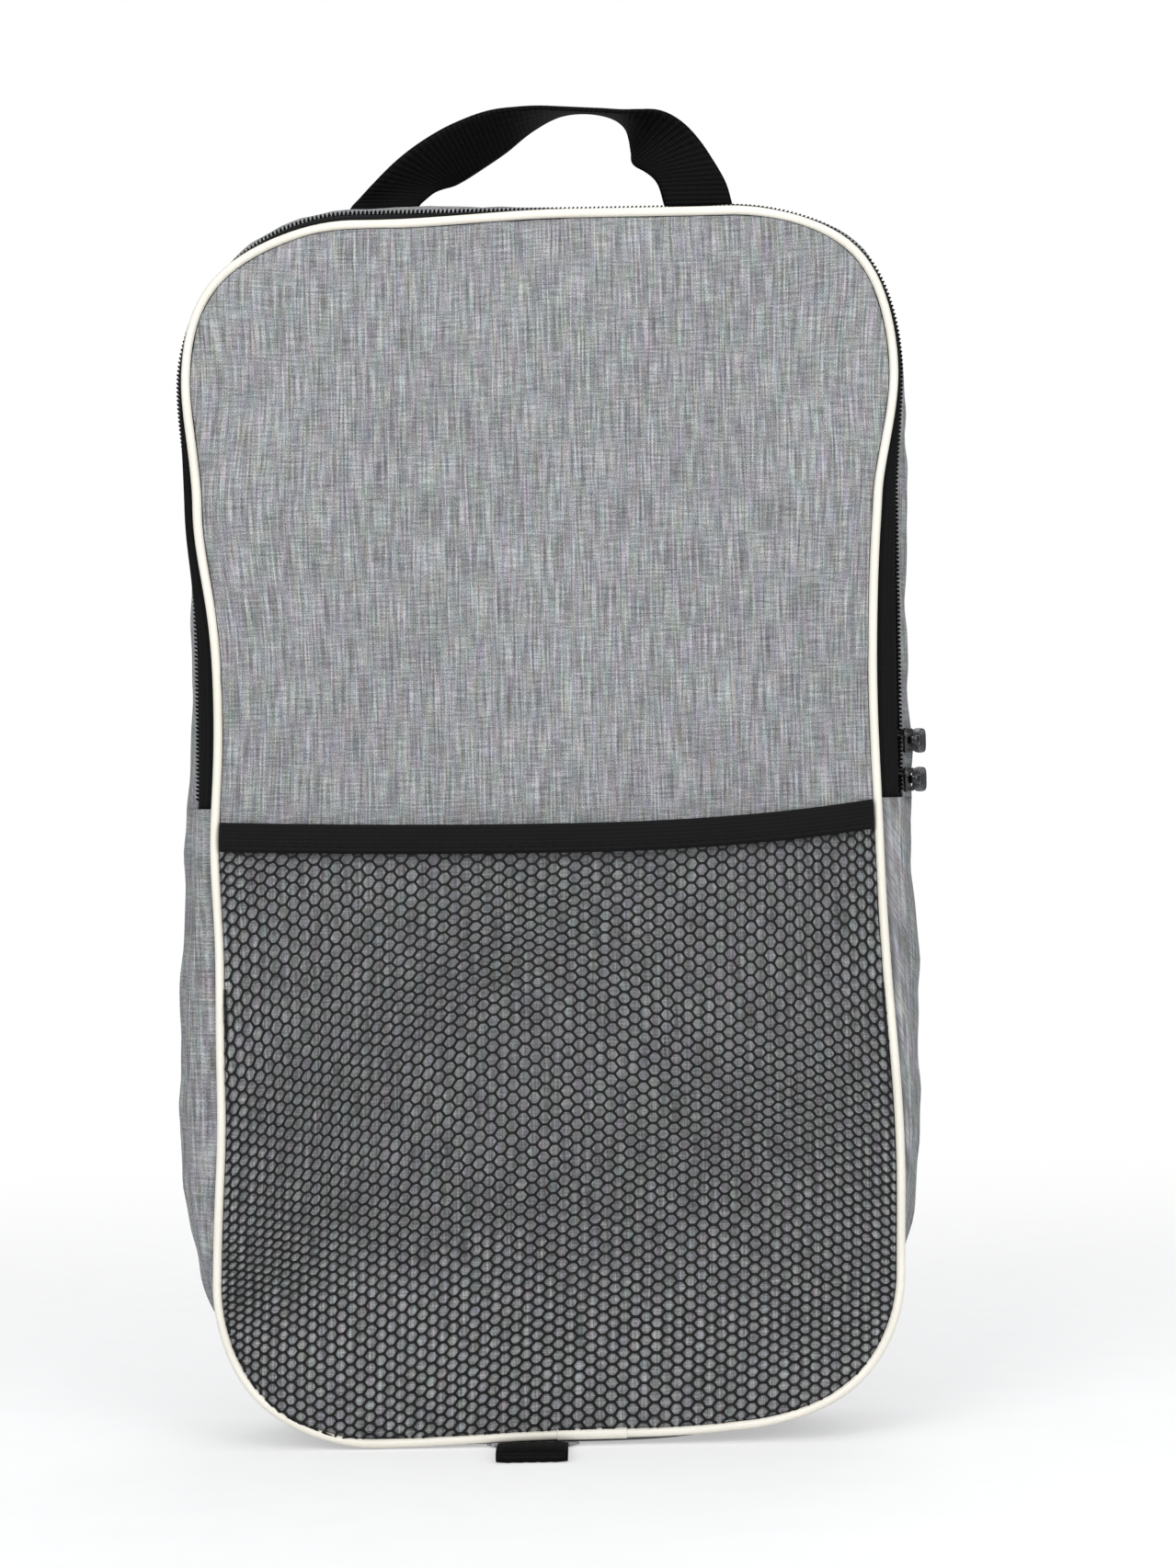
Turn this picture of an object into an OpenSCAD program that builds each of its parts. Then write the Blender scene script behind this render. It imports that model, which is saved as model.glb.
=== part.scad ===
// Padded case for sports paddles: a soft box with a fold-down upper front, a
// two-slider zip, an elastic-topped mesh pocket, a carrying handle and a base tab.
// X is to the right, Y runs from the front to the back and Z is up.
// The origin is the centre of the flat base.

/* [Case] */
// Width of the case at its widest
case_w = 262; // [250:1:290]
// Height of the case body, without the handle
case_h = 443; // [420:1:480]
// Depth between the front seam and the back seam
case_d = 70; // [64:1:90]
// How far the sides swell past the panel seam at the shoulders
side_bulge = 7; // [4:0.5:10]
// How far the top swells past the panel seam
top_bulge = 6; // [3:0.5:9]
// How far the base swells past the panel seam
base_bulge = 4.5; // [4:0.5:7]

/* [Panels] */
// Radius of the two upper corners of the panels
top_r = 58; // [45:1:70]
// Radius of the two lower corners of the panels
bottom_r = 55; // [45:1:70]
// How far each side of the panels is drawn in at the waist
waist_in = 7; // [0:0.5:10]
// How far each side of the panels is drawn in at the hips
hip_in = 3; // [0:0.5:6]
// Height of the fold line, where the zip ends
fold_z = 228; // [220:1:245]
// Top of the straight run of the zip
run_top = 335; // [325:1:345]
// Bottom of the drawn-in waist
waist_z = 210; // [200:1:215]
// Height of the hips
hip_z = 85; // [75:1:100]
// Forward swell of the front panel
front_crown = 6; // [3:0.5:9]
// Backward swell of the back panel
back_crown = 2; // [0:0.5:4]
// Thickness of the outer fabric
fabric_t = 0.8; // [0.6:0.1:1.2]
// Thickness of the foam padding
foam_t = 4; // [3:0.5:5]
// Thickness of the lining
lining_t = 0.5; // [0.3:0.1:0.8]

/* [Seams] */
// Diameter of the corded piping round the front panel
piping_d = 3.2; // [2.6:0.2:4]
// Extra diameter of the sleeve that joins the piping's ends
splice_extra_d = 1.2; // [0.4:0.1:1.3]
// Length of the sleeve that joins the piping's ends
splice_l = 25; // [15:1:35]
// Width of the binding tape over the inner seams
binding_w = 4.8; // [3:0.2:5]
// Thickness of the binding over the inner seams
binding_t = 2.4; // [1.6:0.2:2.8]

/* [Zip] */
// Depth of the zip's centre line behind the front seam
zip_depth = 11; // [10.5:0.5:13]
// Width of each row of coil
coil_w = 1.9; // [1.6:0.1:2]
// Thickness of the coil
coil_t = 2.2; // [1.8:0.1:2.4]
// Gap between the two rows of coil
coil_gap = 1.2; // [1.1:0.1:1.4]
// Thickness of the zip tape
tape_t = 0.8; // [0.5:0.1:1]
// Width of the rear tape beside its coil
rear_tape_w = 5.5; // [4.5:0.5:8]

/* [Sliders] */
// Length of a zip slider
slider_l = 9; // [8:0.5:10]
// Width of a zip slider
slider_w = 8.8; // [8:0.2:9]
// Thickness of the slider's plates
plate_t = 1.2; // [0.8:0.1:1.4]
// Distance between the centres of the two sliders
slider_pitch = 14; // [14:0.5:20]
// Length of a moulded puller
puller_l = 22; // [15:1:30]
// Width of a moulded puller
puller_w = 9; // [6:0.5:10]
// Thickness of a moulded puller
puller_t = 2.6; // [2:0.1:3]

/* [Pocket] */
// Height of the pocket's mouth
pocket_top = 223; // [205:1:224]
// Gap between the pocket and the front panel at the mouth
pocket_gap = 6; // [5:0.5:8]
// Thickness of the mesh
mesh_t = 0.8; // [0.6:0.1:1.2]
// Height of the elastic band
band_h = 10.4; // [8:0.2:14]
// Thickness of the elastic band
band_t = 1.4; // [1:0.1:1.6]

/* [Handle and tab] */
// Width of the handle and tab webbing
webbing_w = 25; // [20:1:30]
// Thickness of the webbing
webbing_t = 1.8; // [1.4:0.1:2.2]
// Distance between the centres of the handle's feet
handle_span = 115; // [100:1:130]
// Rise of the handle above its feet
handle_rise = 37; // [32:1:60]
// Length of each stitched foot on the top
foot_l = 17; // [12:1:18]
// Length of the folded base tab
tab_l = 30; // [20:1:45]
// Sideways place of the tab's centre
tab_x = -10; // [-30:1:30]
// Thickness of the folded tab at its rounded end
tab_end_t = 4.2; // [3.8:0.1:5]

/* [Hidden] */

layer_gap = 0.1;       // between layers of one panel
fold_gap = 0.4;        // between the upper and lower pieces at the fold
soft_gap = 0.3;        // between soft pieces and their neighbours
arc_step = 15;         // degrees between points on a panel's corner
columns = 10;          // steps across a panel

mid_half = case_w / 2;
shoulder_half = mid_half - side_bulge;
waist_half = shoulder_half - waist_in;
hip_half = shoulder_half - hip_in;
panel_top = case_h - top_bulge;
top_centre_z = panel_top - top_r;
bottom_centre_z = base_bulge + bottom_r;
panel_mid_z = (panel_top + base_bulge) / 2;
panel_half_h = (panel_top - base_bulge) / 2;
fold_low = fold_z - fold_gap / 2;
fold_high = fold_z + fold_gap / 2;
front_y = -case_d / 2;
back_y = case_d / 2;

piping_r = piping_d / 2;
piping_v = -0.6;                       // depth of the piping's centre
piping_gap = 0.2;                      // between the piping and the cloth on both sides
edge_inset = piping_r + piping_gap;    // from the seam line to a panel's edge
splice_x = 11;                         // centre of the sleeve over the piping's joined ends
splice_clear = 0.05;
splice_shift = splice_extra_d / 2 - piping_gap + splice_clear;
binding_out = 1;                       // from the seam line to the binding's outer edge
foam_gap = 0.4;                        // between the binding and the foam
foam_inset = binding_out + binding_w + foam_gap;
seam_v = piping_r + piping_v + piping_gap; // depth at which the side fabric leaves the front seam
back_lap = fabric_t + layer_gap;       // the side fabric stops this far before the back seam

zip_share = 0.66;                      // share of the side swell that the zip lies at
zip_corner = 5;                        // depth of the rounded corner in front of the zip
zip_flat = slider_w / 2 + 0.8;         // the side swells again this far behind the zip
tape_angles = [12:26:90];              // steps round the corner in front of the zip
side_rise = 12;                        // depth over which it swells
side_corner = 12;                      // depth of the rounded corner at the back
base_corner = 9;                       // depth of the rounded corners of the base
tape_in = fabric_t + layer_gap;        // the zip tape lies this far under the fabric's face
coil_front_v = zip_depth - coil_gap / 2 - coil_w;
coil_rear_v = zip_depth + coil_gap / 2;
rear_tape_v = coil_rear_v + coil_w;
gusset_v = zip_depth + zip_flat;
zip_x = waist_half + (mid_half - waist_half) * zip_share - tape_in - tape_t / 2;
zip_y = front_y + zip_depth;

stop_h = 1;
stop_z = fold_high + layer_gap;
coil_z = stop_z + stop_h + 2 * layer_gap;
slider_gap = 0.35;                     // between the coil and the slider's plates
slider_b_z = coil_z + soft_gap + slider_l / 2;
slider_a_z = slider_b_z + slider_pitch;
outer_plate_x = coil_t / 2 + slider_gap;
inner_gap = 0.9;                       // keeps the inner plate clear of the sloping front tape
inner_plate_x = coil_t / 2 + inner_gap;
plate_taper = 1.2;
post_gap = 0.2;                        // between the slider's post and the coils
post_h = 3;
bridge_clear = 2.0;
bridge_t = 1.2;
bridge_w = 1.6;
bridge_leg = 1.8;
bridge_end = 0.2;                      // from the bridge to the ends of the plate
link_hole_r = 1.3;
link_r = link_hole_r + 1;
link_h = 3;
link_t = 1.2;
link_l = 7;
link_sink = 0.6;                       // the tongue starts this far outside the hole
bridge_x = outer_plate_x + plate_t + bridge_clear + bridge_t / 2;
tab_start = 3.5;                       // from the bridge to the moulded puller
puller_lean = 12;                      // how far the pullers lean out at rest

handle_y = 5;
handle_z = case_h + layer_gap + webbing_t + soft_gap + webbing_t / 2;
handle_steps = 28;
end_angles = [20, 45, 70];             // steps that round off the ends of the webbing
handle_power = 0.8;
twist_share = 0.42;

mesh_gap = 0.4;                        // between the mesh and the panel at its sewn edges
pocket_full_z = 150;                   // the pocket stands fully off the panel above here
pocket_low_z = 30;
tab_hinge_y = front_y + piping_v - piping_r - 2;
tab_hinge_z = 1.3;
tab_root = 0.6;                        // the loop starts this far from its hinge
tab_ply = 1.2;                         // thickness of the loop's two plies
tab_fold = 9;                          // the plies part this far from the hinge
patch_z = 0.4;
patch_t = 1.3;
patch_lap = 0.5;                       // how far the patch reaches behind the front seam
patch_margin = 1;                      // the patch is wider than the webbing by this on each side
patch_flare = 4;

function clamp01(t) = max(0, min(1, t));
function mix(a, b, t) = a + (b - a) * t;
function smooth(t) = let (c = clamp01(t)) c * c * (3 - 2 * c);
function quarter(t) = sqrt(1 - pow(1 - clamp01(t), 2));
function reversed(list) = [for (i = [len(list) - 1:-1:0]) list[i]];
function flat(lists) = [for (list = lists) for (item = list) item];
function mirrored(points) = [for (p = reversed(points)) [-p.x, p.y]];

// Share of the swell of the sides, and of the base, at a depth behind the front seam
function side_share(v) = v < case_d / 2
    ? zip_share * quarter((v - seam_v) / zip_corner)
        + (1 - zip_share) * smooth((v - zip_depth - zip_flat) / side_rise)
    : quarter((case_d - v) / side_corner);
function base_share(v) = quarter(min(v - seam_v, case_d - v) / base_corner);

// Half the width of a panel along its sides
function seam_half(z) = waist_half
    + (shoulder_half - waist_half) * smooth((z - run_top) / (top_centre_z - run_top))
    + (hip_half - waist_half) * smooth((waist_z - z) / (waist_z - hip_z));

// Right-hand edge above the fold, upwards, and below the fold, upwards
function upper_edge(s, inset, from) = let (r = mix(top_r, top_r + top_bulge, s))
    concat(
        [for (z = [from, mix(from, run_top, 0.5), run_top, mix(run_top, top_centre_z, 0.33),
            mix(run_top, top_centre_z, 0.67)]) [mix(seam_half(z), mid_half, s) - inset, z]],
        [for (a = [0:arc_step:90]) [mix(shoulder_half, mid_half, s) - r + (r - inset) * cos(a),
            top_centre_z + (r - inset) * sin(a)]]);
function lower_edge(s, q, inset) = let (r = mix(bottom_r, bottom_r + base_bulge, q))
    concat(
        [for (a = [-90:arc_step:0]) [mix(hip_half, mid_half, s) - r + (r - inset) * cos(a),
            bottom_centre_z + (r - inset) * sin(a)]],
        [for (z = [hip_z, mix(hip_z, waist_z, 0.33), mix(hip_z, waist_z, 0.67), waist_z,
            fold_low]) [mix(seam_half(z), mid_half, s) - inset, z]]);

// Whole rim above or below the fold at a depth, anticlockwise seen from the front
function upper_rim(v, inset, from = fold_high) =
    let (e = upper_edge(side_share(v), inset, from)) rim_at(concat(e, mirrored(e)), v);
function lower_rim(v, inset) =
    let (e = lower_edge(side_share(v), base_share(v), inset)) rim_at(concat(mirrored(e), e), v);
function rim_at(points, v) = [for (p = points) [p.x, front_y + v, p.y]];

// Swell of a panel at a point: none at its edges
function crown(x, half, z) = (1 - pow(min(1, abs(x) / half), 2.5))
    * (1 - pow(min(1, abs(z - panel_mid_z) / panel_half_h), 4));
function across(edge, depth_of, inset) = [for (p = edge) [for (i = [0:columns])
    let (x = p.x * (1 - 2 * i / columns)) [x, depth_of(x, p.x + inset, p.y), p.y]]];

// A closed solid between two grids of points that face the same way
module between(outer, inner, flip = false) {
    n = len(outer);
    m = len(outer[0]);
    k = n * m;
    skin = [for (i = [0:n - 2]) for (j = [0:m - 2])
        let (a = i * m + j, b = a + 1, c = a + m + 1, d = a + m)
        each [[a, b, c], [a, c, d], [k + c, k + b, k + a], [k + d, k + c, k + a]]];
    ends = [for (j = [0:m - 2]) let (a = j, b = (n - 1) * m + j)
        each [[a, k + a, k + a + 1], [a, k + a + 1, a + 1],
            [b, b + 1, k + b + 1], [b, k + b + 1, k + b]]];
    sides = [for (i = [0:n - 2]) let (a = i * m, b = i * m + m - 1)
        each [[a, a + m, k + a + m], [a, k + a + m, k + a],
            [b, k + b, k + b + m], [b, k + b + m, b + m]]];
    all_faces = concat(skin, ends, sides);
    polyhedron(concat(flat(outer), flat(inner)),
        flip ? [for (f = all_faces) reversed(f)] : all_faces, convexity = 8);
}

// A closed tube through rings of points
module tube(rings) {
    n = len(rings);
    m = len(rings[0]);
    sides = [for (i = [0:n - 2]) for (j = [0:m - 1])
        let (a = i * m + j, b = i * m + (j + 1) % m, c = b + m, d = a + m)
        each [[a, b, c], [a, c, d]]];
    caps = [for (j = [1:m - 2]) each [[0, j + 1, j],
        [(n - 1) * m, (n - 1) * m + j, (n - 1) * m + j + 1]]];
    polyhedron(flat(rings), [for (f = concat(sides, caps)) reversed(f)], convexity = 8);
}

// One layer of a panel: edge points, its first depth behind the panel's face and its thickness
module front_layer(edge, inset, from, thick) {
    face = function (x, half, z) front_y + from - front_crown * crown(x, half, z);
    back = function (x, half, z) face(x, half, z) + thick;
    between(across(edge, face, inset), across(edge, back, inset));
}
module back_layer(inset, from, thick) {
    edge = concat(lower_edge(0, 0, inset), upper_edge(0, inset, fold_high));
    face = function (x, half, z) back_y - from + back_crown * crown(x, half, z);
    inner = function (x, half, z) face(x, half, z) - thick;
    between(across(edge, face, inset), across(edge, inner, inset), flip = true);
}

// A strip of the side between two depths, above or below the fold
module upper_strip(depths, inset, thick, from = fold_high) {
    between([for (v = depths) upper_rim(v, inset, from)],
        [for (v = depths) upper_rim(v, inset + thick, from)]);
}
module lower_strip(depths, inset, thick) {
    between([for (v = depths) lower_rim(v, inset)],
        [for (v = depths) lower_rim(v, inset + thick)]);
}
function steps(a, b, n) = [for (i = [0:n]) mix(a, b, i / n)];
swell = steps(gusset_v, zip_depth + zip_flat + side_rise, 4);
corner = [for (a = [90:-18:18]) case_d - side_corner + side_corner * cos(a)];
base_depths = concat([for (a = [0:18:72]) seam_v + base_corner * (1 - cos(a))],
    [seam_v + base_corner]);

fabric_colour = [0.42, 0.43, 0.45];
lining_colour = [0.16, 0.16, 0.17];
piping_colour = [0.88, 0.86, 0.80];
black = [0.06, 0.06, 0.07];
foam_colour = [0.75, 0.75, 0.72];
metal_colour = [0.12, 0.12, 0.13];

foam_from = fabric_t + layer_gap;
lining_from = foam_from + foam_t + layer_gap;

module front_upper_fabric() {
    color(fabric_colour) front_layer(upper_edge(0, edge_inset, fold_high), edge_inset, 0, fabric_t);
}
module front_upper_foam() {
    color(foam_colour)
        front_layer(upper_edge(0, foam_inset, fold_high), foam_inset, foam_from, foam_t);
}
module front_upper_lining() {
    color(lining_colour)
        front_layer(upper_edge(0, foam_inset, fold_high), foam_inset, lining_from, lining_t);
}
module front_lower_fabric() {
    color(fabric_colour) front_layer(lower_edge(0, 0, edge_inset), edge_inset, 0, fabric_t);
}
module front_lower_foam() {
    color(foam_colour) front_layer(lower_edge(0, 0, foam_inset), foam_inset, foam_from, foam_t);
}
module front_lower_lining() {
    color(lining_colour)
        front_layer(lower_edge(0, 0, foam_inset), foam_inset, lining_from, lining_t);
}
module back_fabric() {
    color(fabric_colour) back_layer(0, 0, fabric_t);
}
module back_foam() {
    color(foam_colour) back_layer(foam_inset, foam_from, foam_t);
}
module back_lining() {
    color(lining_colour) back_layer(foam_inset, lining_from, lining_t);
}
module gusset_upper_fabric() {
    color(fabric_colour)
        upper_strip(concat(swell, corner, [case_d - back_lap]), 0, fabric_t);
}
module gusset_lower_fabric() {
    color(fabric_colour)
        lower_strip(concat(base_depths, swell, corner, [case_d - back_lap]), 0, fabric_t);
}
module gusset_upper_lining() {
    color(lining_colour)
        upper_strip(concat([rear_tape_v + rear_tape_w + layer_gap],
            [for (v = concat(swell, corner)) if (v > rear_tape_v + rear_tape_w + 1
                && v < case_d - lining_from - 1) v]), fabric_t + layer_gap, lining_t);
}
module gusset_lower_lining() {
    color(lining_colour)
        lower_strip([for (v = concat(base_depths, swell, corner)) if (v > lining_from + 1
            && v < case_d - lining_from - 1) v], fabric_t + layer_gap, lining_t);
}

// Rings of the piping round a rim, from one of its points to another
function piping_rings(edges, r) = [for (i = [0:len(edges[0]) - 1])
    [for (k = [0:7]) [edges[k][i].x, front_y + piping_v + r * sin(45 * k), edges[k][i].y]]];
function around(r) = [for (k = [0:7]) -r * cos(45 * k)];
module piping_upper() {
    color(piping_colour) tube(piping_rings([for (inset = around(piping_r))
        let (e = upper_edge(0, inset, fold_high)) concat(e, mirrored(e))], piping_r));
}
module piping_lower() {
    right = [for (inset = around(piping_r)) let (e = lower_edge(0, 0, inset))
        concat([[splice_x + splice_l / 2 + layer_gap, e[0].y]], e)];
    left = [for (inset = around(piping_r)) let (e = lower_edge(0, 0, inset))
        concat(mirrored(e), [[splice_x - splice_l / 2 - layer_gap, e[0].y]])];
    color(piping_colour) {
        tube(piping_rings(right, piping_r));
        tube(piping_rings(left, piping_r));
    }
}
module piping_splice() {
    color(piping_colour)
        translate([splice_x, front_y + piping_v - splice_shift, base_bulge - splice_shift])
            rotate([0, 90, 0])
                cylinder(d = piping_d + splice_extra_d, h = splice_l, center = true, $fn = 32);
}

// A flat ring of binding tape behind a seam, cut off at the fold where it has one
module binding_ring(edge_outer, edge_inner) {
    linear_extrude(binding_t)
        polygon(concat(edge_outer, reversed(edge_inner)));
}
module behind_front() {
    translate([0, front_y + seam_v + binding_t, 0]) rotate([90, 0, 0]) children();
}
module seam_binding_upper() {
    outer = upper_edge(0, binding_out, fold_high);
    inner = upper_edge(0, binding_out + binding_w, fold_high);
    color(lining_colour) behind_front()
        binding_ring(concat(outer, mirrored(outer)), concat(inner, mirrored(inner)));
}
module seam_binding_lower() {
    outer = lower_edge(0, 0, binding_out);
    inner = lower_edge(0, 0, binding_out + binding_w);
    color(lining_colour) behind_front()
        binding_ring(concat(mirrored(outer), outer), concat(mirrored(inner), inner));
}
module seam_binding_back() {
    color(lining_colour) translate([0, back_y - back_lap - layer_gap, 0]) rotate([90, 0, 0])
        linear_extrude(binding_t) difference() {
            back_outline(binding_out);
            back_outline(binding_out + binding_w);
        }
}
module back_outline(inset) {
    edge = concat(lower_edge(0, 0, inset), upper_edge(0, inset, fold_high));
    polygon(concat(edge, mirrored(edge)));
}

module zip_tape_front() {
    depths = concat([for (a = tape_angles) seam_v + zip_corner * (1 - cos(a))], [coil_front_v]);
    color(black) upper_strip(depths, tape_in, tape_t);
}
module zip_coil_front() {
    color(black) upper_strip([coil_front_v, coil_front_v + coil_w],
        tape_in + tape_t / 2 - coil_t / 2, coil_t, coil_z);
}
module zip_tape_rear() {
    depths = concat(steps(rear_tape_v, gusset_v, 1),
        steps(gusset_v + 1, rear_tape_v + rear_tape_w, 1));
    color(black) upper_strip(depths, tape_in, tape_t);
}
module zip_coil_rear() {
    color(black) upper_strip([coil_rear_v, coil_rear_v + coil_w],
        tape_in + tape_t / 2 - coil_t / 2, coil_t, coil_z);
}
module zip_stop(side) {
    color(metal_colour) translate([side * zip_x - coil_t / 2, front_y + coil_rear_v, stop_z])
        cube([coil_t, coil_w - layer_gap, stop_h]);
}
module zip_stop_right() zip_stop(1);
module zip_stop_left() zip_stop(-1);

// Pieces of a slider, with the coil's centre line as the Z axis and outwards as X
module along_x(start, thick) {
    translate([start, 0, 0]) rotate([90, 0, 90]) linear_extrude(thick) children();
}
module plate_shape(w, from_y) {
    polygon([[max(from_y, -w / 2 + plate_taper), -slider_l / 2], [w / 2 - plate_taper, -slider_l / 2],
        [w / 2, slider_l / 6], [w / 2 - plate_taper / 2, slider_l / 2],
        [max(from_y, -w / 2 + plate_taper / 2), slider_l / 2], [max(from_y, -w / 2), slider_l / 6]]);
}
module slider_body() {
    post_w = coil_gap - 2 * post_gap;
    color(metal_colour) {
        along_x(outer_plate_x, plate_t) plate_shape(slider_w, -slider_w);
        along_x(-inner_plate_x - plate_t, plate_t) plate_shape(slider_w, -post_w);
        translate([-inner_plate_x, -post_w / 2, slider_l / 2 - post_h])
            cube([inner_plate_x + outer_plate_x, post_w, post_h]);
        translate([outer_plate_x + plate_t, bridge_w / 2, 0]) rotate([90, 0, 0])
            linear_extrude(bridge_w) difference() {
                bridge_shape(bridge_clear + bridge_t, slider_l / 2 - bridge_end, bridge_t);
                bridge_shape(bridge_clear, slider_l / 2 - bridge_end - bridge_leg, 0);
            }
    }
}
module bridge_shape(rise, half, chamfer) {
    polygon([[0, -half], [rise - chamfer, -half], [rise, -half + chamfer], [rise, half - chamfer],
        [rise - chamfer, half], [0, half]]);
}
module puller_link() {
    color(metal_colour) {
        difference() {
            cylinder(r = link_r, h = link_h, center = true, $fn = 40);
            cylinder(r = link_hole_r, h = link_h + 1, center = true, $fn = 40);
        }
        translate([-link_t / 2, link_hole_r + link_sink, -link_h / 2])
            cube([link_t, link_l - link_hole_r - link_sink, link_h]);
    }
}
module puller_tab() {
    r = puller_w / 4;
    color(black) difference() {
        along_x(-puller_t / 2, puller_t) union() {
            translate([tab_start + r, -puller_w / 2]) square([puller_l - 2 * r, puller_w]);
            translate([tab_start, -puller_w / 2 + r]) square([puller_l, puller_w - 2 * r]);
            for (y = [tab_start + r, tab_start + puller_l - r])
                for (z = [-1, 1])
                    translate([y, z * (puller_w / 2 - r)]) circle(r = r, $fn = 32);
        }
        translate([-link_t / 2 - layer_gap / 2, tab_start - 1, -link_h / 2 - layer_gap / 2])
            cube([link_t + layer_gap, link_l - tab_start + 1 + layer_gap, link_h + layer_gap]);
    }
}
module at_slider(z) translate([zip_x, zip_y, z]) children();
// The puller leans out from the slider's bridge, clear of the swelling side
module at_puller(z) at_slider(z) translate([bridge_x, 0, 0]) rotate([0, 0, -puller_lean]) children();
module slider_a_body() at_slider(slider_a_z) slider_body();
module puller_a_link() at_puller(slider_a_z) puller_link();
module puller_a_tab() at_puller(slider_a_z) puller_tab();
module slider_b_body() at_slider(slider_b_z) slider_body();
module puller_b_link() at_puller(slider_b_z) puller_link();
module puller_b_tab() at_puller(slider_b_z) puller_tab();

// The mesh lies on the panel at its sewn edges and stands off it towards the mouth
function mesh_stand_off(x, half, z) = mesh_gap + pocket_gap
    * (1 - pow(min(1, abs(x) / half), 4))
    * smooth((z - pocket_low_z) / (pocket_full_z - pocket_low_z));
function mesh_face(x, half, z) = front_y - front_crown * crown(x, half, z)
    - mesh_stand_off(x, half, z);
function pocket_edge(top) = concat(
    [for (p = lower_edge(0, 0, edge_inset)) if (p.y < top - 1) p],
    [[seam_half(top) - edge_inset, top]]);
module mesh_pocket() {
    back = function (x, half, z) mesh_face(x, half, z);
    face = function (x, half, z) mesh_face(x, half, z) - mesh_t;
    edge = pocket_edge(pocket_top);
    color(black) between(across(edge, face, edge_inset), across(edge, back, edge_inset));
}
module pocket_band() {
    back = function (x, half, z) mesh_face(x, half, z) - mesh_t - layer_gap;
    face = function (x, half, z) back(x, half, z) - band_t;
    edge = [for (z = [pocket_top + 1 - band_h, pocket_top + 1])
        [seam_half(z) - edge_inset, z]];
    color(black) between(across(edge, face, edge_inset), across(edge, back, edge_inset));
}

// The handle's centre line is half an ellipse; the webbing turns flat towards its top
function handle_point(a) = [-handle_span / 2 * cos(a), handle_y,
    handle_z + handle_rise * pow(sin(max(0, min(180, a))), handle_power)];
function unit(p) = p / norm(p);
function handle_ring(a, thick) = let (
        along = a < 1 ? [0, 0, 1] : a > 179 ? [0, 0, -1]
            : unit(handle_point(a + 1) - handle_point(a - 1)),
        side = cross([0, 1, 0], along),
        turn = 90 * smooth(min(a, 180 - a) / 180 / twist_share),
        broad = cos(turn) * side + sin(turn) * [0, 1, 0],
        flat_side = cross(along, broad),
        p = handle_point(a))
    [for (c = [[-1, -1], [1, -1], [1, 1], [-1, 1]])
        p + broad * c.x * webbing_w / 2 + flat_side * c.y * thick / 2];
function moved(ring, by) = [for (p = ring) p + by];
module handle_strap() {
    half_t = webbing_t / 2;
    foot = function (turned, a) moved(handle_ring(turned, webbing_t * cos(a)), [0, 0, -half_t * sin(a)]);
    start = [for (a = reversed(end_angles)) foot(0, a)];
    finish = [for (a = end_angles) foot(180, a)];
    color(black) tube(concat(start,
        [for (i = [0:handle_steps]) handle_ring(180 * i / handle_steps, webbing_t)], finish));
}
module handle_feet() {
    color(black) for (side = [-1, 1])
        translate([side * handle_span / 2 - webbing_w / 2, handle_y - webbing_t / 2, case_h + layer_gap])
            cube([webbing_w, foot_l, webbing_t]);
}

// The base tab: a patch sewn under the front seam, and a folded loop that lies on the floor
module tab_patch() {
    back = front_y + patch_lap;
    color(fabric_colour) translate([tab_x, 0, patch_z]) linear_extrude(patch_t) polygon([
        [-webbing_w / 2 - patch_flare, back], [webbing_w / 2 + patch_flare, back],
        [webbing_w / 2 + patch_margin, tab_hinge_y + soft_gap],
        [-webbing_w / 2 - patch_margin, tab_hinge_y + soft_gap]]);
}
module tab_loop() {
    root_t = 2 * tab_hinge_z;
    end_r = tab_end_t / 2;
    color(black) translate([tab_x + webbing_w / 2, tab_hinge_y, 0]) rotate([90, 0, -90])
        linear_extrude(webbing_w) difference() {
            union() {
                polygon([[tab_root, 0], [tab_l - end_r, 0], [tab_l - end_r, tab_end_t],
                    [tab_root, root_t]]);
                translate([tab_l - end_r, end_r]) circle(r = end_r, $fn = 40);
            }
            translate([tab_l - end_r, end_r]) circle(r = end_r - tab_ply, $fn = 24);
            polygon([[tab_l - end_r, tab_ply], [tab_l - end_r, tab_end_t - tab_ply],
                [tab_fold, root_t / 2]]);
        }
}

front_upper_fabric();
front_upper_foam();
front_upper_lining();
front_lower_fabric();
front_lower_foam();
front_lower_lining();
back_fabric();
back_foam();
back_lining();
gusset_upper_fabric();
gusset_upper_lining();
gusset_lower_fabric();
gusset_lower_lining();
piping_upper();
piping_lower();
piping_splice();
seam_binding_upper();
seam_binding_lower();
seam_binding_back();
zip_tape_front();
zip_coil_front();
zip_tape_rear();
zip_coil_rear();
zip_stop_right();
zip_stop_left();
slider_a_body();
puller_a_link();
puller_a_tab();
slider_b_body();
puller_b_link();
puller_b_tab();
mesh_pocket();
pocket_band();
handle_strap();
handle_feet();
tab_patch();
tab_loop();
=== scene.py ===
"""A padded paddle case: heather fabric, cream piping, black zip, mesh pocket and webbing."""

import math

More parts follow.
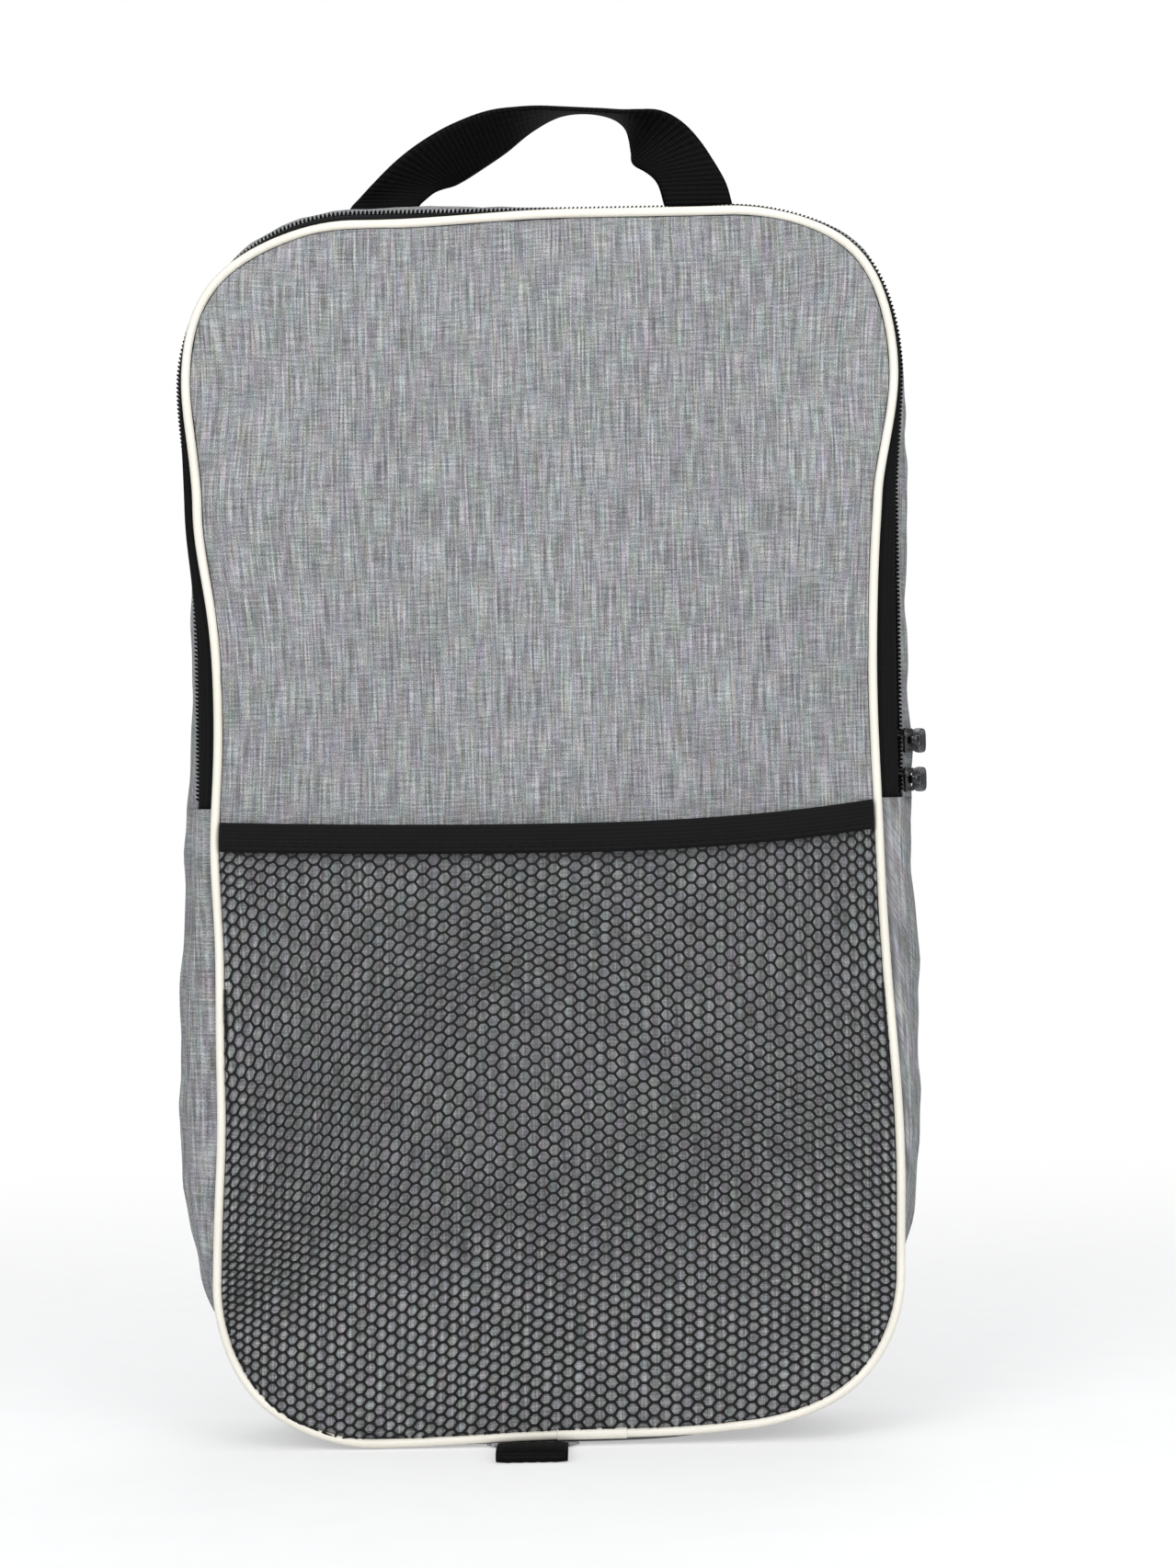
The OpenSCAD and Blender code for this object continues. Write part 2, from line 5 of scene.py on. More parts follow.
import bmesh
import bpy
import mathutils
import numpy as np
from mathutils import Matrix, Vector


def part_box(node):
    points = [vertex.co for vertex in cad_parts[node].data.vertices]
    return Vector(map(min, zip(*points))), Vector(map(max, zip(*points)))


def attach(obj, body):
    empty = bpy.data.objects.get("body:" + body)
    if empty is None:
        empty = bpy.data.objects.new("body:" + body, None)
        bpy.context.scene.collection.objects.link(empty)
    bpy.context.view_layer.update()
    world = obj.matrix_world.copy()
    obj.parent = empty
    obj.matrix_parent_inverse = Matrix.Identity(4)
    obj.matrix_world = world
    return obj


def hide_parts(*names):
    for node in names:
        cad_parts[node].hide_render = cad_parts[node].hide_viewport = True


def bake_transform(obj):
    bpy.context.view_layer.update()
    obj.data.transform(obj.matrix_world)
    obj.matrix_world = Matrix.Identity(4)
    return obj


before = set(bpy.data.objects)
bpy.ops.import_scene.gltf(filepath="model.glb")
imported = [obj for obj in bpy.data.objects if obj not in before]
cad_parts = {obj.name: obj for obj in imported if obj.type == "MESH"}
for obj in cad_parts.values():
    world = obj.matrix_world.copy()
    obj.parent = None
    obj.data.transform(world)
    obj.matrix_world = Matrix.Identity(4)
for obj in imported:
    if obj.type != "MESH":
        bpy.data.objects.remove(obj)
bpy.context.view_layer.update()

MM = 0.001
SEED = 11

# ---------------------------------------------------------------- sizes, from the frame


def low(node, axis):
    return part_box(node)[0][axis]


def high(node, axis):
    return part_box(node)[1][axis]


X, Y, Z = 0, 1, 2
MID_HALF = high("gusset_lower_fabric", X)
CASE_TOP = high("gusset_upper_fabric", Z)
PIPING_R = (high("piping_upper", Y) - low("piping_upper", Y)) / 2
PIPING_Y = (high("piping_upper", Y) + low("piping_upper", Y)) / 2
SHOULDER_HALF = high("piping_upper", X) - PIPING_R
PANEL_TOP = high("piping_upper", Z) - PIPING_R
PANEL_BASE = low("piping_lower", Z) + PIPING_R
FOLD_LOW = high("front_lower_fabric", Z)
FOLD_HIGH = low("front_upper_fabric", Z)
FOLD_Z = (FOLD_LOW + FOLD_HIGH) / 2
FABRIC_T = 0.8 * MM
BACK_Y = low("back_fabric", Y) + FABRIC_T
FRONT_Y = -BACK_Y
DEPTH = BACK_Y - FRONT_Y
FRONT_CROWN = FRONT_Y - low("front_upper_fabric", Y)
BACK_CROWN = high("back_fabric", Y) - BACK_Y
PANEL_MID_Z = (PANEL_TOP + PANEL_BASE) / 2
PANEL_HALF_H = (PANEL_TOP - PANEL_BASE) / 2

# Sizes that the boxes don't give, the same as the solids'
TOP_R = 58 * MM
BOTTOM_R = 55 * MM
WAIST_HALF = SHOULDER_HALF - 7 * MM
HIP_HALF = SHOULDER_HALF - 3 * MM
RUN_TOP = 335 * MM
WAIST_Z = 210 * MM
HIP_Z = 85 * MM
TOP_CENTRE_Z = PANEL_TOP - TOP_R
BOTTOM_CENTRE_Z = PANEL_BASE + BOTTOM_R
TOP_BULGE = CASE_TOP - PANEL_TOP
FOAM_T = 4 * MM
LINING_T = 0.5 * MM
LAYER_GAP = 0.1 * MM
EDGE_INSET = PIPING_R + 0.2 * MM
FOAM_INSET = 6.2 * MM
SEAM_V = 1.6 * MM
ZIP_DEPTH = 11 * MM
ZIP_SHARE = 0.66
ZIP_CORNER = 5 * MM
ZIP_FLAT = 5.2 * MM
SIDE_RISE = 12 * MM
SIDE_CORNER = 12 * MM
BASE_CORNER = 9 * MM
TAPE_IN = 0.9 * MM
TAPE_T = 0.8 * MM
COIL_T = 2.2 * MM
COIL_W = 1.9 * MM
COIL_GAP = 1.2 * MM
POCKET_TOP = 223 * MM
POCKET_GAP = 3.2 * MM
MESH_GAP = 0.4 * MM
MESH_T = 0.8 * MM
BAND_H = 10.4 * MM
BAND_T = 1.4 * MM


# ---------------------------------------------------------------- shape of the case


def smooth(t):
    t = np.clip(t, 0, 1)
    return t * t * (3 - 2 * t)


def quarter(t):
    return np.sqrt(1 - (1 - np.clip(t, 0, 1)) ** 2)


def mix(a, b, t):
    return a + (b - a) * t


def unit(v):
    """Vectors along the last axis, made 1 long."""
    return v / np.linalg.norm(v, axis=-1, keepdims=True)


def squared_off(c, power):
    """A sine or cosine drawn out towards 1 or -1, which squares off a round outline."""
    return abs(c) ** power * np.sign(c)


def side_share(v):
    """Share of the sides' swell at a depth behind the front seam."""
    if v < DEPTH / 2:
        rise = smooth((v - ZIP_DEPTH - ZIP_FLAT) / SIDE_RISE)
        return ZIP_SHARE * quarter((v - SEAM_V) / ZIP_CORNER) + (1 - ZIP_SHARE) * rise
    return quarter((DEPTH - v) / SIDE_CORNER)


def base_share(v):
    return quarter(min(v - SEAM_V, DEPTH - v) / BASE_CORNER)


def seam_half(z):
    """Half the width of a panel along its sides."""
    flare = smooth((z - RUN_TOP) / (TOP_CENTRE_Z - RUN_TOP))
    hips = smooth((WAIST_Z - z) / (WAIST_Z - HIP_Z))
    return WAIST_HALF + (SHOULDER_HALF - WAIST_HALF) * flare + (HIP_HALF - WAIST_HALF) * hips


def upper_edge(s, inset, start, side_n=48, arc_n=26):
    """Right-hand edge from the fold to the corner's end, as rows of x, z."""
    z = np.linspace(start, TOP_CENTRE_Z, side_n)
    side = np.stack([mix(seam_half(z), MID_HALF, s) - inset, z], 1)
    a = np.radians(np.linspace(0, 90, arc_n)[1:])
    r = mix(TOP_R, TOP_R + TOP_BULGE, s)
    centre = mix(SHOULDER_HALF, MID_HALF, s) - r
    arc = np.stack([centre + (r - inset) * np.cos(a), TOP_CENTRE_Z + (r - inset) * np.sin(a)], 1)
    return np.concatenate([side, arc])


def lower_edge(s, q, inset, end, side_n=44, arc_n=26):
    """Right-hand edge from the base corner up to the fold."""
    a = np.radians(np.linspace(-90, 0, arc_n))
    r = mix(BOTTOM_R, BOTTOM_R + PANEL_BASE, q)
    centre = mix(HIP_HALF, MID_HALF, s) - r
    arc = np.stack([centre + (r - inset) * np.cos(a), BOTTOM_CENTRE_Z + (r - inset) * np.sin(a)], 1)
    z = np.linspace(BOTTOM_CENTRE_Z, end, side_n)[1:]
    side = np.stack([mix(seam_half(z), MID_HALF, s) - inset, z], 1)
    return np.concatenate([arc, side])


def mirrored(edge):
    return edge[::-1] * [-1, 1]


def bridge(a, b, n):
    """Points strictly between two ends."""
    t = np.linspace(0, 1, n + 2)[1:-1, None]
    return a + (b - a) * t


RIM_STRAIGHT = 34


def upper_rim(v, inset, s=None, start=None, straight=RIM_STRAIGHT):
    """Rim above the fold, from its right-hand end over the top to its left-hand end."""
    s = side_share(v) if s is None else s
    e = upper_edge(s, inset, FOLD_HIGH if start is None else start)
    m = mirrored(e)
    rim = np.concatenate([e, bridge(e[-1], m[0], straight), m])
    return np.stack([rim[:, 0], np.full(len(rim), FRONT_Y + v), rim[:, 1]], 1)


def lower_rim(v, inset, s, q, end=None):
    """Rim below the fold, from its left-hand end under the base to its right-hand end."""
    s = side_share(v) if s is None else s
    q = base_share(v) if q is None else q
    e = lower_edge(s, q, inset, FOLD_LOW if end is None else end)
    m = mirrored(e)
    rim = np.concatenate([m, bridge(m[-1], e[0], RIM_STRAIGHT), e])
    return np.stack([rim[:, 0], np.full(len(rim), FRONT_Y + v), rim[:, 1]], 1)


def seam_rim(v, inset):
    """The closed seam line, anticlockwise seen from the front, from the right-hand fold."""
    upper = upper_rim(v, inset, 0, start=FOLD_Z)
    lower = lower_rim(v, inset, 0, 0, end=FOLD_Z)
    return np.concatenate([upper, lower[1:-1]])


def edge_lift(x, half, z):
    """How far a panel's point is from its edge, as a share that is 1 well inside."""
    side = (half - np.abs(x)) / (9 * MM)
    ends = np.minimum(PANEL_TOP - z, z - PANEL_BASE) / (9 * MM)
    return quarter(np.minimum(side, ends))


def crown(x, half, z):
    across = 1 - np.minimum(1, np.abs(x) / half) ** 2.5
    up = 1 - np.minimum(1, np.abs(z - PANEL_MID_Z) / PANEL_HALF_H) ** 4
    return across * up


class Waves:
    """A smooth random field over space, between about -1 and 1."""

    def __init__(self, seed, shortest, longest, count=24):
        draw = np.random.default_rng(SEED + seed)
        way = unit(draw.normal(size=(count, 3)))
        self.k = way * (2 * np.pi / draw.uniform(shortest, longest, count))[:, None]
        self.phase = draw.uniform(0, 2 * np.pi, count)
        self.scale = math.sqrt(2 / count)

    def __call__(self, p):
        return np.sin(np.asarray(p) @ self.k.T + self.phase).sum(-1) * self.scale


def hump(a, centre, reach):
    """A smooth bump of height 1."""
    return np.exp(-(((a - centre * MM) / (reach * MM)) ** 2))


def settle(p):
    """The case's own lie: its soft corners, waist and base are not quite the same on both sides.

    Humps are in mm. Nothing moves near the sliders, which are rigid.
    """
    p = np.array(p, float)
    x, y, z = p[..., X], p[..., Y], p[..., Z]
    flank = smooth((np.abs(x) - 60 * MM) / (60 * MM))
    left = smooth((10 * MM - x) / (70 * MM))
    right = smooth((x - 30 * MM) / (70 * MM))
    before_zip = smooth((FRONT_Y + ZIP_DEPTH - 3 * MM - y) / (7 * MM))
    behind_seam = smooth((y - FRONT_Y - 2 * MM) / (9 * MM))
    at_corner = smooth((y - FRONT_Y - 0.8 * MM) / (3.6 * MM))
    behind_zip = smooth((y - FRONT_Y - ZIP_DEPTH - 5 * MM) / (10 * MM))
    shift_x = -left * flank * before_zip * (1.4 * hump(z, 396, 34) + 6.3 * hump(z, 334, 34)
                                            + 2.2 * hump(z, 212, 28) - 2.0 * hump(z, 112, 34))
    shift_x -= left * flank * behind_seam * (4.2 * hump(z, 122, 58) + 1.9 * hump(z, 172, 50)
                                             + 1.2 * hump(z, 84, 24))
    shift_x -= 2.6 * left * flank * (1 - before_zip) * (1 - behind_zip) * hump(z, 372, 50)
    shift_x += 2.4 * left * flank * behind_zip * hump(z, 300, 66)
    shift_x += 1.5 * right * flank * before_zip * hump(z, 345, 24)
    shift_x += right * flank * (1.2 * hump(z, 112, 45) - 2.0 * hump(z, 268, 50) * before_zip
                                - 1.6 * hump(z, 262, 45) * behind_zip)
    shift_z = (1.0 * behind_zip - 2.8 * before_zip) * left * smooth((z - 360 * MM) / (60 * MM))
    base = 1 - smooth(z / (90 * MM))
    shift_z += base * (2.8 * hump(x, 80, 26) - 2.3 * before_zip * hump(x, -62, 44)
                       + 3.2 * at_corner * hump(x, 92, 40))
    corners = ((108, 417, 26, 3.0, 3.3, 1), (-114, 412, 26, -2.6, 2.8, before_zip),
               (-104, 22, 24, -1.6, -1.2, before_zip), (-122, 24, 38, 7.0, 5.0, at_corner),
               (122, 34, 46, -9.0, 5.5, at_corner))
    for cx, cz, reach, dx, dz, depth_share in corners:
        corner = hump(x, cx, reach) * hump(z, cz, reach) * depth_share
        shift_x += dx * corner
        shift_z += dz * corner
    lowest = np.minimum(z, 0.15 * MM)
    p[..., X] += shift_x * MM
    p[..., Z] = np.maximum(z + shift_z * MM, lowest)
    return p


# ---------------------------------------------------------------- meshes


def linked(name, data):
    """An object in the scene for a mesh, lamp or camera."""
    ob = bpy.data.objects.new(name, data)
    bpy.context.scene.collection.objects.link(ob)
    return ob


def shade_smooth(me):
    me.polygons.foreach_set("use_smooth", [True] * len(me.polygons))


def new_object(name, verts, faces):
    me = bpy.data.meshes.new(name)
    me.from_pydata([tuple(v) for v in verts], [], faces)
    me.validate()
    shade_smooth(me)
    return linked(name, me)


def from_bmesh(name, bm):
    me = bpy.data.meshes.new(name)
    bm.to_mesh(me)
    bm.free()
    return linked(name, me)


def add_uv(ob, uv_of_vertex):
    """A map of metres on the cloth, one pair for each vertex."""
    layer = ob.data.uv_layers.new(name="cloth")
    loops = np.empty(len(ob.data.loops), int)
    ob.data.loops.foreach_get("vertex_index", loops)
    layer.uv.foreach_set("vector", np.asarray(uv_of_vertex)[loops].astype(np.float32).ravel())


def outward(ob):
    """Turns every face outwards."""
    bm = bmesh.new()
    bm.from_mesh(ob.data)
    bmesh.ops.recalc_face_normals(bm, faces=bm.faces)
    bm.to_mesh(ob.data)
    bm.free()
    return ob


def grid_faces(n, m, wrap_n=False, wrap_m=False, offset=0):
    i, j = np.meshgrid(np.arange(n if wrap_n else n - 1), np.arange(m if wrap_m else m - 1),
                       indexing="ij")
    a = i * m + j
    b = i * m + (j + 1) % m
    c = (i + 1) % n * m + (j + 1) % m
    d = (i + 1) % n * m + j
    return (np.stack([a, b, c, d], -1).reshape(-1, 4) + offset).tolist()


def sheet_between(name, outer, inner, uv):
    """A closed skin between two grids of points, with its borders joined."""
    n, m = outer.shape[:2]
    k = n * m
    faces = grid_faces(n, m)
    faces += [f[::-1] for f in grid_faces(n, m, offset=k)]
    last = (n - 1) * m
    for j in range(m - 1):
        faces.append([j, k + j, k + j + 1, j + 1])
        faces.append([last + j, last + j + 1, k + last + j + 1, k + last + j])
    for i in range(n - 1):
        a, b = i * m, (i + 1) * m
        faces.append([a, b, k + b, k + a])
        faces.append([a + m - 1, k + a + m - 1, k + b + m - 1, b + m - 1])
    verts = np.concatenate([outer.reshape(-1, 3), inner.reshape(-1, 3)])
    ob = outward(new_object(name, verts, faces))
    add_uv(ob, np.concatenate([uv.reshape(-1, 2)] * 2))
    return ob


def tube_mesh(name, rings, closed=False, uv=None):
    """A closed tube through rings of points."""
    rings = np.asarray(rings)
    n, m = rings.shape[:2]
    faces = grid_faces(n, m, wrap_n=closed, wrap_m=True)
    if not closed:
        faces.append(list(range(m)))
        faces.append(list(range((n - 1) * m, n * m))[::-1])
    ob = outward(new_object(name, rings.reshape(-1, 3), faces))
    if uv is not None:
        add_uv(ob, uv.reshape(-1, 2))
    return ob


def tube_faces(n, m, base):
    """The walls and two ends of one tube among many: n rings of m points from point base on."""
    ends = [[base + k for k in range(m)], [base + (n - 1) * m + k for k in reversed(range(m))]]
    return grid_faces(n, m, wrap_m=True, offset=base) + ends


def lengths(points):
    steps = np.linalg.norm(np.diff(points, axis=0), axis=1)
    return np.concatenate([[0], np.cumsum(steps)])


def read_off(at, run, rows):
    """The values of a line's rows at lengths along it."""
    return np.stack([np.interp(at, run, column) for column in rows.T], 1)


def cloth_map(across, along):
    """A map of a grid with its rows along the cloth and its columns across it."""
    return np.stack(np.broadcast_arrays(across, along[:, None]), -1)


def join(name, obs):
    """One object out of several meshes."""
    bm = bmesh.new()
    for ob in obs:
        bm.from_mesh(ob.data)
    for ob in obs:
        bpy.data.objects.remove(ob)
    return from_bmesh(name, bm)


def bevelled(ob, width, segments=3):
    """Rounds a piece's hard edges, and shades it smooth up to its sharp ones."""
    mod = ob.modifiers.new("bevel", "BEVEL")
    mod.width = width
    mod.segments = segments
    mod.limit_method = "ANGLE"
    mod.angle_limit = math.radians(35)
    bpy.context.view_layer.update()
    evaluated = ob.evaluated_get(bpy.context.evaluated_depsgraph_get())
    me = bpy.data.meshes.new_from_object(evaluated)
    ob.modifiers.clear()
    ob.data = me
    shade_smooth(me)
    me.set_sharp_from_angle(angle=math.radians(50))
    return ob


# ---------------------------------------------------------------- materials


class Nodes:
    """A short way to write a material's nodes."""

    def __init__(self, name):
        self.mat = bpy.data.materials.new(name)
        self.mat.use_nodes = True
        self.tree = self.mat.node_tree
        self.shader = self.tree.nodes["Principled BSDF"]

    def add(self, kind, inputs=None, **settings):
        node = self.tree.nodes.new(kind)
        for key, value in settings.items():
            setattr(node, key, value)
        for key, value in (inputs or {}).items():
            self.put(node.inputs[key], value)
        return node

    def put(self, socket, value):
        if isinstance(value, bpy.types.NodeSocket):
            self.tree.links.new(value, socket)
        else:
            socket.default_value = value

    def math(self, operation, a, b, c=0.0):
        node = self.add("ShaderNodeMath", operation=operation)
        for socket, value in zip(node.inputs, (a, b, c)):
            self.put(socket, value)
        return node.outputs[0]

    def wave(self, vector, scale, distortion, way, **inputs):
        """Bands across X or Y."""
        inputs.update({"Vector": vector, "Scale": scale, "Distortion": distortion})
        return self.add("ShaderNodeTexWave", inputs, bands_direction=way).outputs[1]

    def noise(self, vector, scale, detail, roughness=0.5):
        return self.add("ShaderNodeTexNoise", {
            "Vector": vector, "Scale": scale, "Detail": detail, "Roughness": roughness})

    def mapped(self, vector, scale):
        return self.add("ShaderNodeMapping", {"Vector": vector, "Scale": scale}).outputs[0]

    def ramp(self, factor, stops):
        node = self.add("ShaderNodeValToRGB", {"Fac": factor})
        ramp = node.color_ramp
        while len(ramp.elements) < len(stops):
            ramp.elements.new(0.5)
        for element, (place, colour) in zip(ramp.elements, stops):
            element.position = place
            element.color = (*colour, 1)
        return node.outputs[0]

    def mix(self, factor, a, b, blend):
        node = self.add("ShaderNodeMix", data_type="RGBA", blend_type=blend)
        self.put(node.inputs[0], factor)
        self.put(node.inputs[6], a)
        self.put(node.inputs[7], b)
        return node.outputs[2]

    def bump(self, height, distance, strength):
        return self.add("ShaderNodeBump", {
            "Height": height, "Distance": distance, "Strength": strength}).outputs[0]

    def finish(self, **sockets):
        for key, value in sockets.items():
            self.put(self.shader.inputs[key.replace("_", " ")], value)
        return self.mat


def grey(value):
    return (value, value, value)


def heather(name):
    """Two-tone yarns: slubs down the cloth and shorter ones across it, with faint tints."""
    n = Nodes(name)
    uv = n.add("ShaderNodeUVMap", uv_map="cloth").outputs[0]

    def yarns(across, along, detail=1.0):
        return n.noise(n.mapped(uv, (across, along, 1)), 1.0, detail).outputs[0]

    def blend(parts):
        total = 0.0
        for share, value in parts:
            total = n.math("MULTIPLY_ADD", value, share, total)
        return total

    tone = blend([(0.31, yarns(1500, 62)), (0.13, yarns(900, 36, 2.0)), (0.03, yarns(240, 16)),
                  (0.18, yarns(110, 1500)), (0.09, yarns(280, 1000, 2.0)), (0.26, yarns(2100, 2100))])
    blotch = yarns(11, 6, 2.0)
    tone = n.math("MULTIPLY_ADD", n.math("SUBTRACT", blotch, 0.5), 0.04, tone)
    colour = n.ramp(tone, [(0.38, (0.082, 0.084, 0.087)), (0.465, (0.165, 0.168, 0.173)),
                           (0.53, (0.258, 0.262, 0.269)), (0.61, (0.42, 0.43, 0.44))])
    tint = n.noise(n.mapped(uv, (330, 90, 1)), 1.0, 3.0).outputs[1]
    colour = n.mix(0.17, colour, tint, "OVERLAY")
    warp, weft = (n.wave(uv, 440.0, 1.5, way, Detail=1.0) for way in "XY")
    weave = n.math("ADD", n.math("MULTIPLY", warp, weft), n.math("MULTIPLY", tone, 1.6))
    return n.finish(
        Base_Color=colour, Roughness=n.math("ADD", 0.72, n.math("MULTIPLY", tone, 0.25)),
        Normal=n.bump(weave, 0.00022, 0.6), Sheen_Weight=0.06, Sheen_Roughness=0.5,
        Specular_IOR_Level=0.25)


def woven(name, base, light, scale=(900, 900), sheen=0.15, shine=0.3):
    """Plain dark cloth with a fine regular weave."""
    n = Nodes(name)
    uv = n.add("ShaderNodeUVMap", uv_map="cloth").outputs[0]
    mapped = n.mapped(uv, (*scale, 1))
    warp, weft = (n.wave(mapped, 0.31, 0.6, way) for way in "XY")
    height = n.math("MULTIPLY", warp, weft)
    worn = n.noise(n.mapped(uv, (70, 70, 1)), 1.0, 3.0).outputs[0]
    tone = n.math("ADD", n.math("MULTIPLY", height, 0.7), n.math("MULTIPLY", worn, 0.5))
    colour = n.ramp(tone, [(0.1, base), (0.9, light)])
    return n.finish(Base_Color=colour, Roughness=n.math("ADD", 0.7, n.math("MULTIPLY", worn, 0.2)),
                    Normal=n.bump(height, 0.00015, 0.8), Sheen_Weight=sheen, Sheen_Roughness=0.4,
                    Specular_IOR_Level=shine)


def solid_noise(name, base, light, scale, rough, bump=0.00005, metallic=0.0, coat=0.0, shine=0.5):
    """Moulded, painted or coated pieces: fine grain and uneven gloss."""
    n = Nodes(name)
    place = n.add("ShaderNodeTexCoord").outputs["Object"]
    grain = n.noise(place, scale, 4.0, 0.6).outputs[0]
    broad = n.noise(place, scale / 14, 2.0).outputs[0]
    colour = n.ramp(broad, [(0.3, base), (0.75, light)])
    return n.finish(Base_Color=colour, Metallic=metallic,
                    Roughness=n.math("ADD", rough, n.math("MULTIPLY", grain, 0.15)),
                    Normal=n.bump(grain, bump, 0.6), Coat_Weight=coat,
                    Specular_IOR_Level=shine)


def webbing_material(name):
    """Ribbed webbing: rows of short floats across the width."""
    n = Nodes(name)
    uv = n.add("ShaderNodeUVMap", uv_map="cloth").outputs[0]
    ribs = n.wave(uv, 170.0, 0.4, "Y")
    cords = n.wave(uv, 260.0, 0.5, "X")
    height = n.math("ADD", n.math("MULTIPLY", ribs, 0.7), n.math("MULTIPLY", cords, 0.4))
    fuzz = n.noise(n.mapped(uv, (900, 900, 1)), 1.0, 2.0).outputs[0]
    colour = n.ramp(n.math("MULTIPLY", height, fuzz),
                    [(0.1, grey(0.0015)), (0.55, grey(0.006)), (0.9, grey(0.015))])
    return n.finish(Base_Color=colour, Roughness=n.math("ADD", 0.55, n.math("MULTIPLY", fuzz, 0.3)),
                    Normal=n.bump(height, 0.0003, 0.9), Specular_IOR_Level=0.07)


MATERIALS = {
    "heather_fabric": heather("heather_fabric"),
    "foam": solid_noise("foam", grey(0.50), grey(0.60), 900, 0.85, bump=0.0002),
    "lining": woven("lining", grey(0.012), grey(0.035)),
    "binding": woven("binding", grey(0.008), grey(0.024), (1200, 1200)),
    "piping": solid_noise("piping", (0.66, 0.63, 0.55), (0.73, 0.70, 0.63), 500, 0.34,
                          bump=0.00003, coat=0.15),
    "zip_tape": woven("zip_tape", grey(0.0025), grey(0.008), (1500, 1500), sheen=0.01,
                      shine=0.10),
    "zip_coil": solid_noise("zip_coil", grey(0.002), grey(0.006), 1500, 0.55, shine=0.10),
    "black_metal": solid_noise("black_metal", grey(0.006), grey(0.014), 900, 0.22, metallic=0.5,
                               coat=0.5),
    "moulded_puller": solid_noise("moulded_puller", (0.007, 0.007, 0.010), (0.014, 0.014, 0.020),
                                  1300, 0.36),
    "mesh": solid_noise("mesh", grey(0.004), grey(0.014), 2600, 0.6, bump=0.00012, shine=0.2),
    "elastic": woven("elastic", grey(0.003), grey(0.010), (1400, 700), sheen=0.01, shine=0.10),
    "webbing": webbing_material("webbing"),
    "thread": solid_noise("thread", grey(0.002), grey(0.006), 4000, 0.7, bump=0.0001, shine=0.1),
}


def dress(ob, slot_name, body, *nodes, material=None):
    """Gives a piece its finish, its body and the solids that it stands for."""
    ob.data.materials.clear()
    ob.data.materials.append(MATERIALS[material or slot_name])
    if body:
        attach(ob, body)
    if nodes:
        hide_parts(*nodes)
    return ob


def across_fold(ob):
    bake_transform(ob)
    return ob


# ---------------------------------------------------------------- panels

PANEL_COLUMNS = 120
CLOTH = Waves(2, 34 * MM, 110 * MM, 30)
CREASES = Waves(3, 9 * MM, 26 * MM, 36)


def panel_rows(inset):
    """Edge points of a whole panel from the base to the top, with level ends closed in."""
    lower = lower_edge(0, 0, inset, FOLD_Z, side_n=64, arc_n=34)
    upper = upper_edge(0, inset, FOLD_Z, side_n=60, arc_n=34)
    return np.concatenate([lower, upper[1:]])


def panel_grid(rows, inset, depth_of):
    t = np.sin(np.linspace(-1, 1, PANEL_COLUMNS + 1) * math.pi / 2 * 0.92)
    t /= t[-1]
    x = rows[:, :1] * t[None]
    z = np.repeat(rows[:, 1:], len(t), 1)
    half = np.repeat(rows[:, :1] + inset, len(t), 1)
    return np.stack([x, depth_of(x, half, z), z], -1)


def pillow(x, half, z):
    """Outward shape of a padded panel over its seam line: crown, rounded edge and soft waves."""
    lift = edge_lift(x, half, z)
    p = np.stack([x, np.zeros_like(x), z], -1)
    near_edge = 4 * lift * (1 - lift)
    return 1.7 * MM * (lift - 0.35) + 0.55 * MM * CLOTH(p) * lift + 0.35 * MM * CREASES(p) * near_edge


def front_face(x, half, z):
    return FRONT_Y - FRONT_CROWN * crown(x, half, z) - pillow(x, half, z)


def back_face(x, half, z):
    return BACK_Y + BACK_CROWN * crown(x, half, z) + 0.8 * pillow(x, half, z)


def layer(name, inset, face, start, thick, sign):
    """One layer of a panel: sign is 1 where the case's inside is towards +Y."""
    rows = panel_rows(inset)
    outer = panel_grid(rows, inset, lambda x, h, z: face(x, h, z) + sign * start)
    inner = panel_grid(rows, inset, lambda x, h, z: face(x, h, z) + sign * (start + thick))
    uv = outer[..., [X, Z]]
    return sheet_between(name, settle(outer), settle(inner), uv)


FOAM_START = FABRIC_T + LAYER_GAP
LINING_START = FOAM_START + FOAM_T + LAYER_GAP

BACK_INSET = 0.4 * MM


def panel_layers(edge_inset):
    """Name, finish, inset, start and thickness of a panel's layers, from the outside in."""
    return (("fabric", "heather_fabric", edge_inset, 0, FABRIC_T),
            ("foam", "foam", FOAM_INSET, FOAM_START, FOAM_T),
            ("lining", "lining", FOAM_INSET, LINING_START, LINING_T))


for kind, finish, inset, start, thick in panel_layers(EDGE_INSET):
    ob = layer("front_panel_" + kind, inset, front_face, start, thick, 1)
    across_fold(dress(ob, finish, None, "front_upper_" + kind, "front_lower_" + kind))

for kind, finish, inset, start, thick in panel_layers(BACK_INSET):
    ob = layer("back_panel_" + kind, inset, back_face, start, thick, -1)
    dress(ob, finish, "root", "back_" + kind)

# ---------------------------------------------------------------- sides

SIDE_WAVES = Waves(4, 30 * MM, 90 * MM, 30)
SIDE_CREASES = Waves(5, 8 * MM, 24 * MM, 36)


def side_wrinkle(p, v):
    """Soft unevenness of the side cloth, none at its seams or near the sliders."""
    edge = smooth((v - ZIP_DEPTH - ZIP_FLAT) / (10 * MM)) * smooth((DEPTH - v) / (9 * MM))
    on_floor = smooth((p[:, Z] - 3 * MM) / (16 * MM))
    return edge * on_floor * (0.55 * MM * SIDE_WAVES(p) + 0.22 * MM * SIDE_CREASES(p))


def outwards(rim):
    """The outward direction at each point of a rim, in the plane of the case's front."""
    d = np.gradient(rim, axis=0)
    n = np.stack([d[:, Z], np.zeros(len(rim)), -d[:, X]], 1)
    return unit(n)


